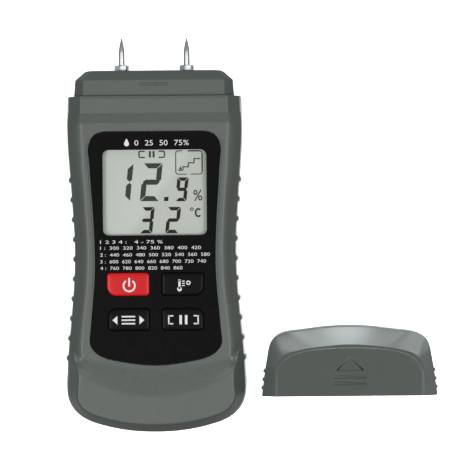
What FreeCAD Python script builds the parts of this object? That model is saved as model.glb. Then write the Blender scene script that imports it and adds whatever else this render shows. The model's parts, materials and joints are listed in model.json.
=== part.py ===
import FreeCAD, Part
import math
import os
from FreeCAD import Vector as V

os.makedirs("parts", exist_ok=True)

# ---------------------------------------------------------------------------
# Driving dimensions, millimetres.
# The meter lies on its back: +Y towards the pins, +Z out of the face,
# z = 0 is the back face, the origin is at the middle of the case's length.
# ---------------------------------------------------------------------------
shoulder_y = 59.5            # end face of the case, where the cap stops
bottom_y = -69.4
collar_z = 32.0              # front of the collar
panel_z = 30.4               # floor of the sunken panel bay
belly_z = 33.2               # front of the raised lower belly
bevel_z = 24.5               # where the side bevel starts
bevel_in = 5.3               # bevel width at collar_z
back_bevel_z = 6.0
back_bevel_in = 4.0
wall = 2.2
split_z = 16.0               # parting plane of the two shells
slope_y0, slope_y1 = 49.0, 53.15   # slope from panel bay up to the collar

# right half outline of the case: (half width, y)
case_half = [(33.4, 59.5), (33.5, 54.5), (33.75, 50.0), (33.75, 45.0),
             (33.5, 39.0), (33.02, 32.0), (32.5, 25.2), (32.0, 17.5),
             (31.5, 9.8), (31.2, 1.5), (31.3, -5.8), (31.65, -13.3),
             (32.3, -21.0), (33.0, -28.7), (33.75, -36.3), (34.2, -42.5),
             (34.45, -49.5), (34.3, -55.0), (33.4, -57.9), (31.4, -61.0),
             (27.9, -63.9), (24.1, -65.6), (19.4, -67.05), (11.1, -68.7),
             (0.0, -69.4)]

# overlay outline: (half width, y)
panel_half = [(19.0, 46.0), (22.1, 45.2), (23.9, 43.7), (25.0, 41.3),
              (25.4, 39.0), (25.2, 36.7), (24.65, 29.8), (24.05, 20.6),
              (23.45, 11.3), (23.1, 2.0), (23.05, -7.0), (23.65, -16.3),
              (24.5, -25.6), (25.1, -32.0), (25.2, -34.8), (24.2, -37.2),
              (21.8, -39.4), (14.0, -41.9), (0.0, -43.5)]
overlay_t = 0.75
overlay_floor = 29.6

# grip ribs on both sides
rib_y0, rib_pitch, rib_count = 27.6, -7.58, 10
rib_r, rib_out = 1.3, 0.7
rib_z0, rib_z1 = 6.5, 24.0

# sensor head (nose)
nose_tip_y = 69.4
nose_z0, nose_z1 = 2.7, 29.3
nose_hw = 30.6

# pins
pin_pitch = 25.0
pin_z = 16.0
pin_r = 1.2
pin_hex_af = 5.0
pin_hex_y0, pin_hex_y1 = 69.5, 71.6
pin_cyl_y = 76.9
pin_tip_y = 82.5

# display
win_x, win_y0, win_y1, win_r = 19.8, 6.2, 38.9, 2.3
lcd_x, lcd_y0, lcd_y1 = 22.0, 3.4, 41.4
lcd_z0, lcd_z1 = 25.7, 27.7

# board
pcb_x, pcb_y0, pcb_y1 = 22.4, -41.0, 49.5
pcb_z0, pcb_z1 = 21.6, 23.2

# keys: x0, x1, y0, y1 and the radii of the corners
# bottom-left, bottom-right, top-right, top-left
keys = {
    "power": (-18.5, -2.3, -16.8, -8.1, (3.6, 1.3, 1.3, 1.3)),
    "unit":  (2.4, 18.5, -16.8, -8.1, (1.3, 3.6, 1.3, 1.3)),
    "mode":  (-18.1, -2.3, -30.1, -21.7, (1.3, 1.3, 1.3, 3.2)),
    "hold":  (2.4, 18.3, -30.1, -21.7, (1.3, 1.3, 3.2, 1.3)),
}
key_top = 31.3
key_travel = 0.9
key_gap = 0.25
key_flange = 1.0
key_flange_z0, key_flange_z1 = 26.95, 27.95
pill_r, pill_z0 = 2.0, 24.2
mat_z0, mat_z1 = 23.25, 24.2

# 9 V battery
bat_x, bat_y0, bat_y1, bat_z0, bat_z1 = 13.25, -62.5, -16.3, 2.75, 20.25

# battery door
door_x, door_y1, door_end_z = 17.0, -8.0, 9.0
door_gap = 0.25
flange_w = 1.4
door_recess = 0.2            # the plate sits this far above the back face

# screws
case_screws = [(-26.0, 46.0), (26.0, 46.0), (-25.3, -50.0), (25.3, -50.0)]
board_screws = [(-19.5, 46.0), (19.5, 46.0), (-19.5, -38.2), (19.5, -38.2)]

# protective cap, lying beside the meter
cap_x, cap_y = 74.0, -55.8
cap_half = [(33.9, -1.5), (33.75, 1.0), (33.3, 4.2), (32.9, 7.7),
            (32.4, 11.15), (32.0, 13.5), (31.6, 15.8), (31.15, 18.2),
            (30.5, 20.4), (29.0, 22.5), (26.5, 24.0), (20.0, 25.2),
            (10.0, 26.4), (0.0, 26.9)]
cap_front = [(28.9, -1.5), (28.8, 1.0), (28.7, 4.2), (28.6, 7.7),
             (28.3, 10.4), (27.6, 12.6), (26.5, 14.4), (25.0, 15.8),
             (23.0, 16.8), (20.8, 17.4), (17.5, 18.1), (12.0, 18.9),
             (6.0, 19.5), (0.0, 19.8)]
cap_arch = [(28.1, -1.5), (28.05, 1.0), (28.0, 5.0), (27.9, 9.2),
            (26.6, 12.2), (23.6, 15.0), (19.1, 16.8), (13.7, 17.8),
            (7.0, 18.3), (0.0, 18.5)]
cap_face_z, cap_arch_z = 31.5, 32.0
cap_clear = 0.3


# ---------------------------------------------------------------------------
# helpers
# ---------------------------------------------------------------------------
def export(name, shape):
    shape = shape.removeSplitter() if hasattr(shape, "removeSplitter") else shape
    sol = shape.Solids
    if len(sol) == 1:
        shape = sol[0]
    else:
        shape = Part.makeCompound(sol)
    print("%-22s solids %2d  vol %10.2f  valid %s" % (name, len(sol), shape.Volume, shape.isValid()))
    shape.exportStep("parts/%s.step" % name)
    return shape


def box(x0, x1, y0, y1, z0, z1):
    return Part.makeBox(x1 - x0, y1 - y0, z1 - z0, V(x0, y0, z0))


def cyl_z(x, y, z0, z1, r):
    return Part.makeCylinder(r, z1 - z0, V(x, y, z0), V(0, 0, 1))


def cyl_y(x, z, y0, y1, r):
    return Part.makeCylinder(r, y1 - y0, V(x, y0, z), V(0, 1, 0))


def cone_y(x, z, y0, y1, r0, r1):
    return Part.makeCone(r0, r1, y1 - y0, V(x, y0, z), V(0, 1, 0))


def sample_half(half, n):
    """n points and inward normals along the mirrored half outline."""
    pts = [V(x, y, 0) for x, y in half]
    pts += [V(-x, y, 0) for x, y in half[-2::-1]]
    c = Part.BSplineCurve()
    c.interpolate(Points=pts)
    out = []
    a, b = c.FirstParameter, c.LastParameter
    edge = c.toShape()
    for p in edge.discretize(Number=n):
        t = c.tangent(c.parameter(p))[0]
        out.append((p, V(t.y, -t.x, 0)))
    # at the widest point of the right side, inward is towards -x
    if max(out, key=lambda s: s[0].x)[1].x > 0:
        out = [(p, q * -1.0) for p, q in out]
    return out


def half_wire(samples, inset, z, close_y=None, widen=None):
    """closed wire: spline round the outline inset by a distance, closed by a line."""
    pts = []
    for p, nrm in samples:
        q = p + nrm * inset
        pts.append(V(q.x, q.y, z))
    if close_y is not None:
        pts[0].y = close_y
        pts[-1].y = close_y
    n = len(pts)
    par = [float(i) for i in range(n)]
    c = Part.BSplineCurve()
    c.interpolate(Points=pts, Parameters=par)
    e = c.toShape()
    l = Part.LineSegment(pts[-1], pts[0]).toShape()
    return Part.Wire([e, l])


def loft(wires):
    s = Part.makeLoft(wires, True, True)
    if s.Volume < 0:
        s.reverse()
    return s


def prism(wire, z0, z1):
    f = Part.Face(wire)
    f.translate(V(0, 0, z0 - f.BoundBox.ZMin))
    return f.extrude(V(0, 0, z1 - z0))


def round_rect(x0, x1, y0, y1, radii, z):
    """wire with its own radius at each corner: bl, br, tr, tl"""
    bl, br, tr, tl = radii
    k = math.sqrt(0.5)
    e = []

    def arc(cx, cy, r, a0):
        a1 = a0 + 45
        a2 = a0 + 90
        p = [V(cx + r * math.cos(math.radians(a)), cy + r * math.sin(math.radians(a)), z)
             for a in (a0, a1, a2)]
        return Part.Arc(p[0], p[1], p[2]).toShape()

    def line(p, q):
        return Part.LineSegment(V(p[0], p[1], z), V(q[0], q[1], z)).toShape()

    e.append(line((x0 + bl, y0), (x1 - br, y0)))
    e.append(arc(x1 - br, y0 + br, br, -90))
    e.append(line((x1, y0 + br), (x1, y1 - tr)))
    e.append(arc(x1 - tr, y1 - tr, tr, 0))
    e.append(line((x1 - tr, y1), (x0 + tl, y1)))
    e.append(arc(x0 + tl, y1 - tl, tl, 90))
    e.append(line((x0, y1 - tl), (x0, y0 + bl)))
    e.append(arc(x0 + bl, y0 + bl, bl, 180))
    return Part.Wire(e)


def key_wire(name, grow, z):
    x0, x1, y0, y1, rad = keys[name]
    return round_rect(x0 - grow, x1 + grow, y0 - grow, y1 + grow,
                      tuple(r + grow for r in rad), z)


def poly_wire(pts):
    pts = [V(*p) for p in pts]
    return Part.makePolygon(pts + [pts[0]])


def tube_path(points, r_wire):
    """round wire along straight runs joined by tangent arcs as large as fit."""
    P = [V(*p) for p in points]
    edges = []
    cur = P[0]
    total = 0.0
    for i in range(1, len(P) - 1):
        a, b, c = P[i - 1], P[i], P[i + 1]
        u = (a - b)
        w = (c - b)
        lu, lw = u.Length, w.Length
        u.normalize()
        w.normalize()
        turn = math.pi - u.getAngle(w)
        cut = 0.45 * min(lu, lw)
        rad = cut / math.tan(turn / 2)
        p0 = b + u * cut
        p1 = b + w * cut
        bis = (u + w)
        bis.normalize()
        centre_d = rad / math.cos(turn / 2)
        mid = b + bis * (centre_d - rad)
        edges.append(Part.LineSegment(cur, p0).toShape())
        total += (p0 - cur).Length
        edges.append(Part.Arc(p0, mid, p1).toShape())
        total += rad * turn
        print("   wire radius %.2f mm = %.1f diameters" % (rad, rad / (2 * r_wire)))
        cur = p1
    edges.append(Part.LineSegment(cur, P[-1]).toShape())
    total += (P[-1] - cur).Length
    spine = Part.Wire(edges)
    d = P[1] - P[0]
    d.normalize()
    prof = Part.Wire([Part.Circle(P[0], d, r_wire).toShape()])
    s = spine.makePipeShell([prof], True, False)
    print("   wire length %.2f  volume %.3f  expected %.3f" %
          (total, s.Volume, math.pi * r_wire ** 2 * total))
    return s


def hexagon(x, z, y0, y1, af, turn):
    rc = af / math.sqrt(3)
    pts = []
    for k in range(6):
        a = math.radians(turn + 60 * k)
        pts.append((x + rc * math.cos(a), y0, z + rc * math.sin(a)))
    f = Part.Face(poly_wire(pts))
    s = f.extrude(V(0, y1 - y0, 0))
    return s


# ---------------------------------------------------------------------------
# case: outer and inner bodies
# ---------------------------------------------------------------------------
S = sample_half(case_half, 45)
slope_in = bevel_in / (collar_z - bevel_z)


def bevel(z, base=0.0):
    return base + max(0.0, z - bevel_z) * slope_in


outer = loft([half_wire(S, back_bevel_in, 0.0, shoulder_y),
              half_wire(S, 0.0, back_bevel_z, shoulder_y),
              half_wire(S, 0.0, bevel_z, shoulder_y),
              half_wire(S, bevel(belly_z), belly_z, shoulder_y)])


def u_in(x):
    return -44.6 + 6.5 * (abs(x) / 29.0) ** 2.2


def u_out(x):
    return -55.2 + 9.6 * (abs(x) / 29.0) ** 2.2


def valley_tool(dz=0.0, ztop=36.0):
    """removes the sunken bay: slope under the collar, floor, crescent slope."""
    xs = [-42 + 3.0 * i for i in range(29)]

    def w(z, yt, f):
        pts = [V(x, f(x), z) for x in xs]
        c = Part.BSplineCurve()
        c.interpolate(Points=pts, Parameters=[float(i) for i in range(len(pts))])
        a, b = pts[0], pts[-1]
        ta, tb = V(a.x, yt, z), V(b.x, yt, z)
        return Part.Wire([c.toShape(), Part.LineSegment(b, tb).toShape(),
                          Part.LineSegment(tb, ta).toShape(),
                          Part.LineSegment(ta, a).toShape()])

    k = (ztop - panel_z) / (belly_z - panel_z)
    yt1 = slope_y0 + (ztop - panel_z) * (slope_y1 - slope_y0) / (collar_z - panel_z)
    t = loft([w(panel_z, slope_y0, u_in),
              w(ztop, yt1, lambda x: u_in(x) + (u_out(x) - u_in(x)) * k)])
    t.translate(V(0, 0, dz))
    return t


outer = outer.cut(box(-60, 60, 45, 80, collar_z, 50))
outer = outer.cut(valley_tool())

inner = loft([half_wire(S, back_bevel_in + 1.5, wall, shoulder_y - wall),
              half_wire(S, wall, back_bevel_z + 0.4, shoulder_y - wall),
              half_wire(S, wall, bevel_z - 0.3, shoulder_y - wall),
              half_wire(S, bevel(belly_z - wall, wall), belly_z - wall, shoulder_y - wall)])
inner = inner.cut(box(-60, 60, 45, 80, collar_z - wall, 50))
vt = valley_tool(-2.4)
inner = inner.cut(vt)
shell = outer.cut(inner)


def half_width(y):
    for (x0, y0), (x1, y1) in zip(case_half, case_half[1:]):
        if y1 <= y <= y0:
            t = (y - y0) / (y1 - y0)
            return x0 + (x1 - x0) * t
    return 0.0


ribs = []
for i in range(rib_count):
    y = rib_y0 + rib_pitch * i
    for s in (-1, 1):
        cx = s * (half_width(y) + rib_out - rib_r)
        ribs.append(cyl_z(cx, y, rib_z0, rib_z1, rib_r))
rib_all = ribs[0].multiFuse(ribs[1:])
shell = shell.fuse(rib_all.cut(inner))

# neck opening for the sensor head in the end wall
neck = (26.8, 5.8, 26.2)
shell = shell.cut(box(-neck[0], neck[0], shoulder_y - wall - 0.5, shoulder_y + 1, neck[1], neck[2]))

low = box(-60, 60, -90, 90, -5, split_z)
high = box(-60, 60, -90, 90, split_z, 60)

# --- front housing ---------------------------------------------------------
front = shell.common(high)
bosses = []
for x, y in case_screws:
    bosses.append(cyl_z(x, y, split_z + 0.1, 33.0, 2.9))
for x, y in board_screws:
    bosses.append(cyl_z(x, y, pcb_z1 + 0.02, 33.0, 2.2))
bosses = bosses[0].multiFuse(bosses[1:]).common(inner)
front = front.fuse(bosses)
for x, y in case_screws:
    front = front.cut(cyl_z(x, y, split_z - 1, 25.0, 1.5))
for x, y in board_screws:
    front = front.cut(cyl_z(x, y, pcb_z1 - 1, 27.3, 1.05))
P = sample_half(panel_half, 45)
recess = loft([half_wire(P, 0.0, overlay_floor, 46.0), half_wire(P, 0.0, 31.4, 46.0)])
front = front.cut(recess)
lens_led = prism(round_rect(-21.6, 21.6, 4.4, 40.7, (2.8,) * 4, 0), 28.85, 31)
front = front.cut(lens_led)
front = front.cut(prism(round_rect(-20.2, 20.2, 5.8, 39.3, (2.5,) * 4, 0), 26, 31))
for k in keys:
    front = front.cut(prism(key_wire(k, key_gap, 0), 26, 31.5))
# rebate for the tongue of the rear shell
ring_out = loft([half_wire(S, 1.05, split_z - 0.5, shoulder_y - 1.05),
                 half_wire(S, 1.05, split_z + 1.4, shoulder_y - 1.05)])
front = front.cut(ring_out.common(box(-60, 60, -90, 56.0, split_z - 1, split_z + 1.4)).cut(bosses))
front = export("front_housing", front)

# --- rear housing ----------------------------------------------------------
rear = shell.common(low)
tongue = loft([half_wire(S, 1.2, split_z - 1.0, shoulder_y - 1.2),
               half_wire(S, 1.2, split_z + 1.2, shoulder_y - 1.2)]).cut(
         loft([half_wire(S, 2.15, split_z - 2.0, shoulder_y - 2.15),
               half_wire(S, 2.15, split_z + 3.0, shoulder_y - 2.15)]))
tongue = tongue.common(box(-60, 60, -90, 55.5, split_z - 1, split_z + 1.2))
rear = rear.fuse(tongue)
posts = [cyl_z(x, y, 1.0, split_z, 3.7) for x, y in case_screws]
inner_low = inner.common(low)
posts = posts[0].multiFuse(posts[1:]).common(outer)
rear = rear.fuse(posts)
# battery bay: side walls, ceiling and end wall, with the rail that holds the door
bay_out = box(-15.7, 15.7, -69, -9.5, 2.45, 21.4)
bay_lim = loft([half_wire(S, back_bevel_in + 1.0, 1.0), half_wire(S, 2.6, back_bevel_z + 0.4),
                half_wire(S, 2.6, 23.0)])
bay_out = bay_out.common(bay_lim)
bay_in = box(-14.2, 14.2, -63.9, -11.0, -2, 20.4)
rail = box(-20.4, 20.4, -62, -5.0, 2.45, 4.2)
rail_foot = [box(18.9, 20.4, -62, -5.0, 1.5, 2.6), box(-20.4, -18.9, -62, -5.0, 1.5, 2.6),
             box(-20.4, 20.4, -6.5, -5.0, 1.5, 2.6)]
rear = rear.fuse(bay_out)
rear = rear.fuse(rail)
rear = rear.multiFuse(rail_foot)
rear = rear.cut(bay_in)
# door opening, and the groove for its flanges
rear = rear.cut(box(-door_x - door_gap, door_x + door_gap, -90, door_y1 + door_gap, -2, 2.45))
rear = rear.cut(box(-door_x - door_gap, door_x + door_gap, -90, -61.5, -2, door_end_z + door_gap))
gw = door_x + flange_w + 0.3
rear = rear.cut(box(-gw, gw, -90, door_y1 + 1.3, 1.15, 2.45))
# window for the battery leads
rear = rear.cut(box(-4.5, 4.5, -13, -8.0, 7.5, 20.4))
for x, y in case_screws:
    rear = rear.cut(cyl_z(x, y, -1, 5.0, 3.0))
    rear = rear.cut(cyl_z(x, y, 4, split_z + 1, 1.7))
rear = export("rear_housing", rear)

# --- battery door ----------------------------------------------------------
plain = loft([half_wire(S, back_bevel_in, 0.0, shoulder_y),
              half_wire(S, 0.0, back_bevel_z, shoulder_y),
              half_wire(S, 0.0, bevel_z, shoulder_y)])
hollow = loft([half_wire(S, back_bevel_in + 1.5, wall, shoulder_y - wall),
               half_wire(S, wall, back_bevel_z + 0.4, shoulder_y - wall),
               half_wire(S, wall, bevel_z + 1, shoulder_y - wall)])
door = plain.cut(hollow).common(box(-door_x, door_x, -90, door_y1, door_recess, door_end_z))
# flanges that run in the grooves
for s in (-1, 1):
    a, b = sorted((s * (door_x - 0.5), s * (door_x + flange_w)))
    door = door.fuse(box(a, b, -59.5, door_y1 - 1.5, 1.4, 2.2))
door = door.fuse(box(-door_x + 1.5, door_x - 1.5, door_y1 - 0.5, door_y1 + 1.0, 1.4, 2.2))
# thumb grip: a shallow oval with ridges left standing in it
oval = cyl_z(0, 0, 0, 1, 8.0)
m = FreeCAD.Matrix()
m.scale(1.0, 0.62, 1.0)
oval = oval.transformGeometry(m)
oval.translate(V(0, -47.0, door_recess - 0.4))
ridges = [box(-7, 7, -47.0 + d - 0.45, -47.0 + d + 0.45, door_recess, door_recess + 2) for d in (-3, -1, 1, 3)]
door = door.cut(oval.cut(ridges[0].multiFuse(ridges[1:])))
door = export("battery_door", door)
export("battery_pad", box(-9, 9, -48, -22, 2.2, 2.68))

# ---------------------------------------------------------------------------
# sensor head
# ---------------------------------------------------------------------------
def oct_pts(hw, fw, z0, z1, zb, y):
    """8-gon in the plane y: hw half width at the sides, fw half width of the faces."""
    return [(fw, y, z0), (hw, y, z0 + zb), (hw, y, z1 - zb), (fw, y, z1),
            (-fw, y, z1), (-hw, y, z1 - zb), (-hw, y, z0 + zb), (-fw, y, z0)]


def oct_loft(secs):
    return loft([poly_wire(oct_pts(*s)) for s in secs])


head = oct_loft([(30.7, 27.0, nose_z0 - 0.05, nose_z1 + 0.05, 4.8, shoulder_y + 0.05),
                 (30.2, 26.9, nose_z0, nose_z1, 4.8, 65.6),
                 (29.8, 26.6, nose_z0 + 0.3, nose_z1 - 0.3, 4.7, 66.1),
                 (26.4, 24.2, 8.0, 24.0, 2.5, 69.1),
                 (25.2, 23.6, 8.7, 23.3, 2.3, nose_tip_y)])
head = head.fuse(box(-26.6, 26.6, shoulder_y - wall - 0.2, shoulder_y + 0.2, 6.0, 26.0))
head = head.fuse(box(-28.4, 28.4, 55.4, shoulder_y - wall - 0.08, 4.6, 26.9))
head = head.fuse(box(-5.4, 5.4, 63.5, 64.6, nose_z1 - 0.5, nose_z1 + 0.4))
head = head.fuse(box(-5.4, 5.4, 63.5, 64.6, nose_z0 - 0.4, nose_z0 + 0.5))
for s in (-1, 1):
    x = s * pin_pitch / 2
    head = head.cut(cyl_y(x, pin_z, 50, 68.2, 2.85))
    head = head.cut(cyl_y(x, pin_z, 60, 75, 1.75))
# cored out from behind so that the block has even walls
head = head.cut(box(-7.5, 7.5, 50, 66.0, 8.5, 23.5))
for s in (-1, 1):
    a, b = sorted((s * 17.5, s * 25.0))
    head = head.cut(box(a, b, 50, 66.0, 8.5, 23.5))
head = export("sensor_head", head)

sockets, lugs = [], []
for s, name in ((-1, "left_pin"), (1, "right_pin")):
    x = s * pin_pitch / 2
    # needle, hex collar and threaded shank turned from one bar
    pin = cyl_y(x, pin_z, pin_hex_y1 - 0.2, pin_cyl_y, pin_r)
    mid = pin_cyl_y + 0.55 * (pin_tip_y - pin_cyl_y)
    pin = pin.fuse(cone_y(x, pin_z, pin_cyl_y, mid, pin_r, 0.72))
    pin = pin.fuse(cone_y(x, pin_z, mid, pin_tip_y, 0.72, 0.04))
    hx = hexagon(x, pin_z, pin_hex_y0, pin_hex_y1, pin_hex_af, 19.3)
    rc = pin_hex_af / math.sqrt(3)
    cham = cone_y(x, pin_z, pin_hex_y1 - 0.55, pin_hex_y1 + 0.35, rc + 0.35, rc - 0.55)
    cham = cham.fuse(cyl_y(x, pin_z, pin_hex_y0 - 1, pin_hex_y1 - 0.55, rc + 0.35))
    hx = hx.common(cham)
    pin = pin.fuse(hx)
    pin = pin.fuse(cyl_y(x, pin_z, 61.5, pin_hex_y0 + 0.3, 1.5))
    export(name, pin)
    sk = cyl_y(x, pin_z, 55.35, 68.1, 2.8)
    sk = sk.fuse(cyl_y(x, pin_z, 54.0, 55.38, 4.0))
    sk = sk.fuse(cyl_y(x, pin_z, 51.0, 54.2, 1.3))
    sk = sk.cut(cyl_y(x, pin_z, 60.5, 75, 1.55))
    sockets.append(sk)
    lug = cyl_y(x, pin_z, 53.4, 53.95, 3.3)
    lug = lug.fuse(box(x - 1.2, x + 1.2, 53.4, 53.95, pin_z - 7.0, pin_z - 2.0))
    lug = lug.cut(cyl_y(x, pin_z, 50, 56, 1.35))
    lugs.append(lug)
export("pin_sockets", Part.makeCompound(sockets))
export("sensor_solder_lugs", Part.makeCompound(lugs))
for s, name in ((-1, "left_sensor_wire"), (1, "right_sensor_wire")):
    x = s * pin_pitch / 2
    w = tube_path([(x, 53.4, 10.2), (x, 44.5, 10.2), (x, 44.5, pcb_z0)], 0.5)
    export(name, w)

# ---------------------------------------------------------------------------
# front panel, display
# ---------------------------------------------------------------------------
ov = loft([half_wire(P, 0.12, overlay_floor + 0.05, 45.88),
           half_wire(P, 0.12, overlay_floor + 0.05 + overlay_t, 45.88)])
ov = ov.cut(prism(round_rect(-win_x, win_x, win_y0, win_y1, (win_r,) * 4, 0), 28, 32))
for k in keys:
    ov = ov.cut(prism(key_wire(k, key_gap, 0), 28, 32))
export("front_overlay", ov)

lens = prism(round_rect(-win_x + .06, win_x - .06, win_y0 + .06, win_y1 - .06, (win_r,) * 4, 0), 29.4, 30.3)
lens = lens.fuse(prism(round_rect(-21.4, 21.4, 4.6, 40.5, (2.6,) * 4, 0), 28.9, 29.6))
export("display_lens", lens)

glass = box(-lcd_x, lcd_x, lcd_y0, lcd_y1, lcd_z0, lcd_z0 + 1.0).fuse(
    box(-lcd_x, lcd_x, lcd_y0 + 1.6, lcd_y1, lcd_z0 + 1.0, lcd_z1))
export("lcd_glass", glass)
fr = box(-23.6, 23.6, 1.8, 43.0, pcb_z1 + 0.02, 27.95)
fr = fr.cut(box(-22.1, 22.1, 3.3, 41.5, 20, 27.73))
fr = fr.cut(box(-20.9, 20.9, 5.2, 40.0, 20, 30))
for x, y in board_screws:
    fr = fr.cut(cyl_z(x, y, 20, 30, 2.5))
export("lcd_frame", fr)
zy = (lcd_y0 + lcd_y1) / 2
export("zebra_strips", Part.makeCompound(
    [box(-19.5, 19.5, zy + d - 1.0, zy + d + 1.0, pcb_z1, lcd_z0) for d in (-17.0, 17.0)]))

# ---------------------------------------------------------------------------
# board and what is on it
# ---------------------------------------------------------------------------
pcb = prism(round_rect(-pcb_x, pcb_x, pcb_y0, pcb_y1, (1.5,) * 4, 0), pcb_z0, pcb_z1)
for x, y in board_screws:
    pcb = pcb.cut(cyl_z(x, y, 20, 25, 1.35))
export("main_board", pcb)
# microcontroller: body and pins on the board's back
mcu = box(-6, 6, 12, 24, 20.1, 21.4)
legs = []
for i in range(8):
    d = -4.55 + 1.3 * i
    legs += [box(-7.4, -5.8, 18 + d - 0.2, 18 + d + 0.2, 21.4, 21.58),
             box(5.8, 7.4, 18 + d - 0.2, 18 + d + 0.2, 21.4, 21.58),
             box(d - 0.2, d + 0.2, 10.6, 12.2, 21.4, 21.58),
             box(d - 0.2, d + 0.2, 23.8, 25.4, 21.4, 21.58)]
export("microcontroller", mcu.fuse(box(-6.6, 6.6, 11.4, 24.6, 21.35, 21.58)).multiFuse(legs))
comp = []
for x, y, sx, sy, sz in ((-14, 30, 5, 3.2, 1.7), (-14, 22, 3.2, 1.6, 0.9), (-14, 18, 3.2, 1.6, 0.9),
                         (-14, 14, 3.2, 1.6, 0.9), (14, 12, 3.2, 1.6, 0.9), (14, 16, 3.2, 1.6, 0.9),
                         (3, 34, 5.0, 4.0, 1.6), (-4, 34, 3.2, 1.6, 0.9), (-18, 6, 4.0, 2.4, 1.8),
                         (12, 3, 11.0, 4.6, 3.6), (-3, 6, 3.2, 1.6, 0.9), (-9, 40, 3.2, 1.6, 0.9)):
    comp.append(box(x - sx / 2, x + sx / 2, y - sy / 2, y + sy / 2, pcb_z0 - sz, pcb_z0))
comp.append(cyl_z(-17.0, 36.5, pcb_z0 - 7.0, pcb_z0, 2.5))     # electrolytic
comp.append(cyl_z(17.0, 38.0, pcb_z0 - 5.0, pcb_z0, 3.0))
comp.append(cyl_z(15.0, 24.0, pcb_z0 - 6.5, pcb_z0, 4.6))      # sounder
export("board_components", Part.makeCompound(comp))
th = Part.makeSphere(1.2, V(3.0, 44.0, 17.2)).fuse(
    cyl_z(2.4, 44.0, 17.4, pcb_z0, 0.22)).fuse(cyl_z(3.6, 44.0, 17.4, pcb_z0, 0.22))
export("thermistor", th)

key_mid = {k: ((v[0] + v[1]) / 2, (v[2] + v[3]) / 2) for k, v in keys.items()}
pads = []
for k, (cx, cy) in key_mid.items():
    disc = cyl_z(cx, cy, pcb_z1, mat_z0, 2.3)
    pads += disc.cut(box(cx - 0.25, cx + 0.25, cy - 4, cy + 4, 20, 26)).Solids
export("key_contact_pads", Part.makeCompound(pads))

mat = prism(round_rect(-21.0, 21.0, -34.8, -3.2, (2.0,) * 4, 0), mat_z0, mat_z1)
for k, (cx, cy) in key_mid.items():
    mat = mat.cut(cyl_z(cx, cy, 20, 30, 2.7))
export("keypad_mat", mat)

for k, (cx, cy) in key_mid.items():
    # rubber dome: a conical skirt between the mat and the key
    z0, z1 = mat_z1, key_flange_z0
    d = Part.makeCone(5.0, 3.5, z1 - z0, V(cx, cy, z0), V(0, 0, 1)).cut(
        Part.makeCone(4.3, 2.8, z1 - z0, V(cx, cy, z0), V(0, 0, 1)))
    export(k + "_dome", d)
    pill = cyl_z(cx, cy, pill_z0, key_flange_z0, pill_r)
    export(k + "_pill", pill)
    stem = prism(key_wire(k, 0.0, 0), key_flange_z1 - 0.1, key_top)
    top = [e for e in stem.Edges if abs(e.BoundBox.ZMin - key_top) < 1e-6 and abs(e.BoundBox.ZMax - key_top) < 1e-6]
    stem = stem.makeFillet(0.55, top)
    fl = prism(key_wire(k, key_flange, 0), key_flange_z0, key_flange_z1)
    export(k + "_button", stem.fuse(fl))

# ---------------------------------------------------------------------------
# battery, snap, leads
# ---------------------------------------------------------------------------
bat = box(-bat_x, bat_x, bat_y0, bat_y1, bat_z0, bat_z1)
bat = bat.makeFillet(1.6, [e for e in bat.Edges if abs(e.Vertexes[0].Y - e.Vertexes[1].Y) > 10])
bz = (bat_z0 + bat_z1) / 2
bat = bat.fuse(cyl_y(-6.35, bz, bat_y1 - 0.2, bat_y1 + 2.5, 2.9))
bat = bat.fuse(cyl_y(6.35, bz, bat_y1 - 0.2, bat_y1 + 2.5, 3.5).cut(
    cyl_y(6.35, bz, bat_y1 + 0.6, bat_y1 + 5, 2.6)))
export("battery", bat)
sn = box(-12.4, 12.4, -15.8, -11.4, bz - 5.6, bz + 5.6)
sn = sn.cut(cyl_y(-6.35, bz, -20, -13.6, 3.0)).cut(cyl_y(6.35, bz, -20, -13.6, 3.6))
export("battery_snap", sn)
for x, name in ((2.2, "battery_lead_red"), (-2.2, "battery_lead_black")):
    export(name, tube_path([(x, -11.4, bz), (x, -0.9, bz), (x, -0.9, pcb_z0)], 0.6))

# ---------------------------------------------------------------------------
# fasteners
# ---------------------------------------------------------------------------
def screw(x, y, z_seat, z_end, r_head, h_head, r_shank, arm):
    """pan head towards -z, cross recess, plain shank"""
    h = cyl_z(x, y, z_seat - h_head, z_seat, r_head)
    edge = [e for e in h.Edges if abs(e.BoundBox.ZMax - (z_seat - h_head)) < 1e-6 and e.Length > 1]
    h = h.makeFillet(h_head * 0.45, edge)
    s = h.fuse(cyl_z(x, y, z_seat - 0.1, z_end, r_shank))
    s = s.cut(box(x - arm, x + arm, y - 0.35, y + 0.35, z_seat - h_head - 1, z_seat - h_head * 0.35))
    s = s.cut(box(x - 0.35, x + 0.35, y - arm, y + arm, z_seat - h_head - 1, z_seat - h_head * 0.35))
    return s


export("case_screws", Part.makeCompound(
    [screw(x, y, 4.98, 24.5, 2.75, 1.9, 1.45, 1.5) for x, y in case_screws]))
export("board_screws", Part.makeCompound(
    [screw(x, y, pcb_z0 - 0.02, 27.0, 2.1, 1.5, 1.0, 1.2) for x, y in board_screws]))

# ---------------------------------------------------------------------------
# protective cap
# ---------------------------------------------------------------------------
C0 = sample_half(cap_half, 41)
CF = sample_half(cap_front, 41)
CA = sample_half(cap_arch, 31)
cap = loft([half_wire(C0, 3.6, 0.0, -1.5), half_wire(C0, 0.0, back_bevel_z, -1.5),
            half_wire(C0, 0.0, bevel_z, -1.5), half_wire(CF, 0.0, cap_face_z, -1.5)])
cap = cap.fuse(loft([half_wire(CA, 0.0, cap_face_z - 0.6, -1.5), half_wire(CA, 0.35, cap_arch_z, -1.5)]))
for h in (9.8, 6.5, 3.3):
    for s in (-1, 1):
        hw = 33.85 - 0.13 * h
        cap = cap.fuse(cyl_z(s * (hw + 0.6 - 0.75), h, rib_z0, rib_z1, 0.75))
tri = Part.Face(poly_wire([(-5.35, 9.7, cap_arch_z - 0.3), (5.35, 9.7, cap_arch_z - 0.3), (0, 15.1, cap_arch_z - 0.3)]))
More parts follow.
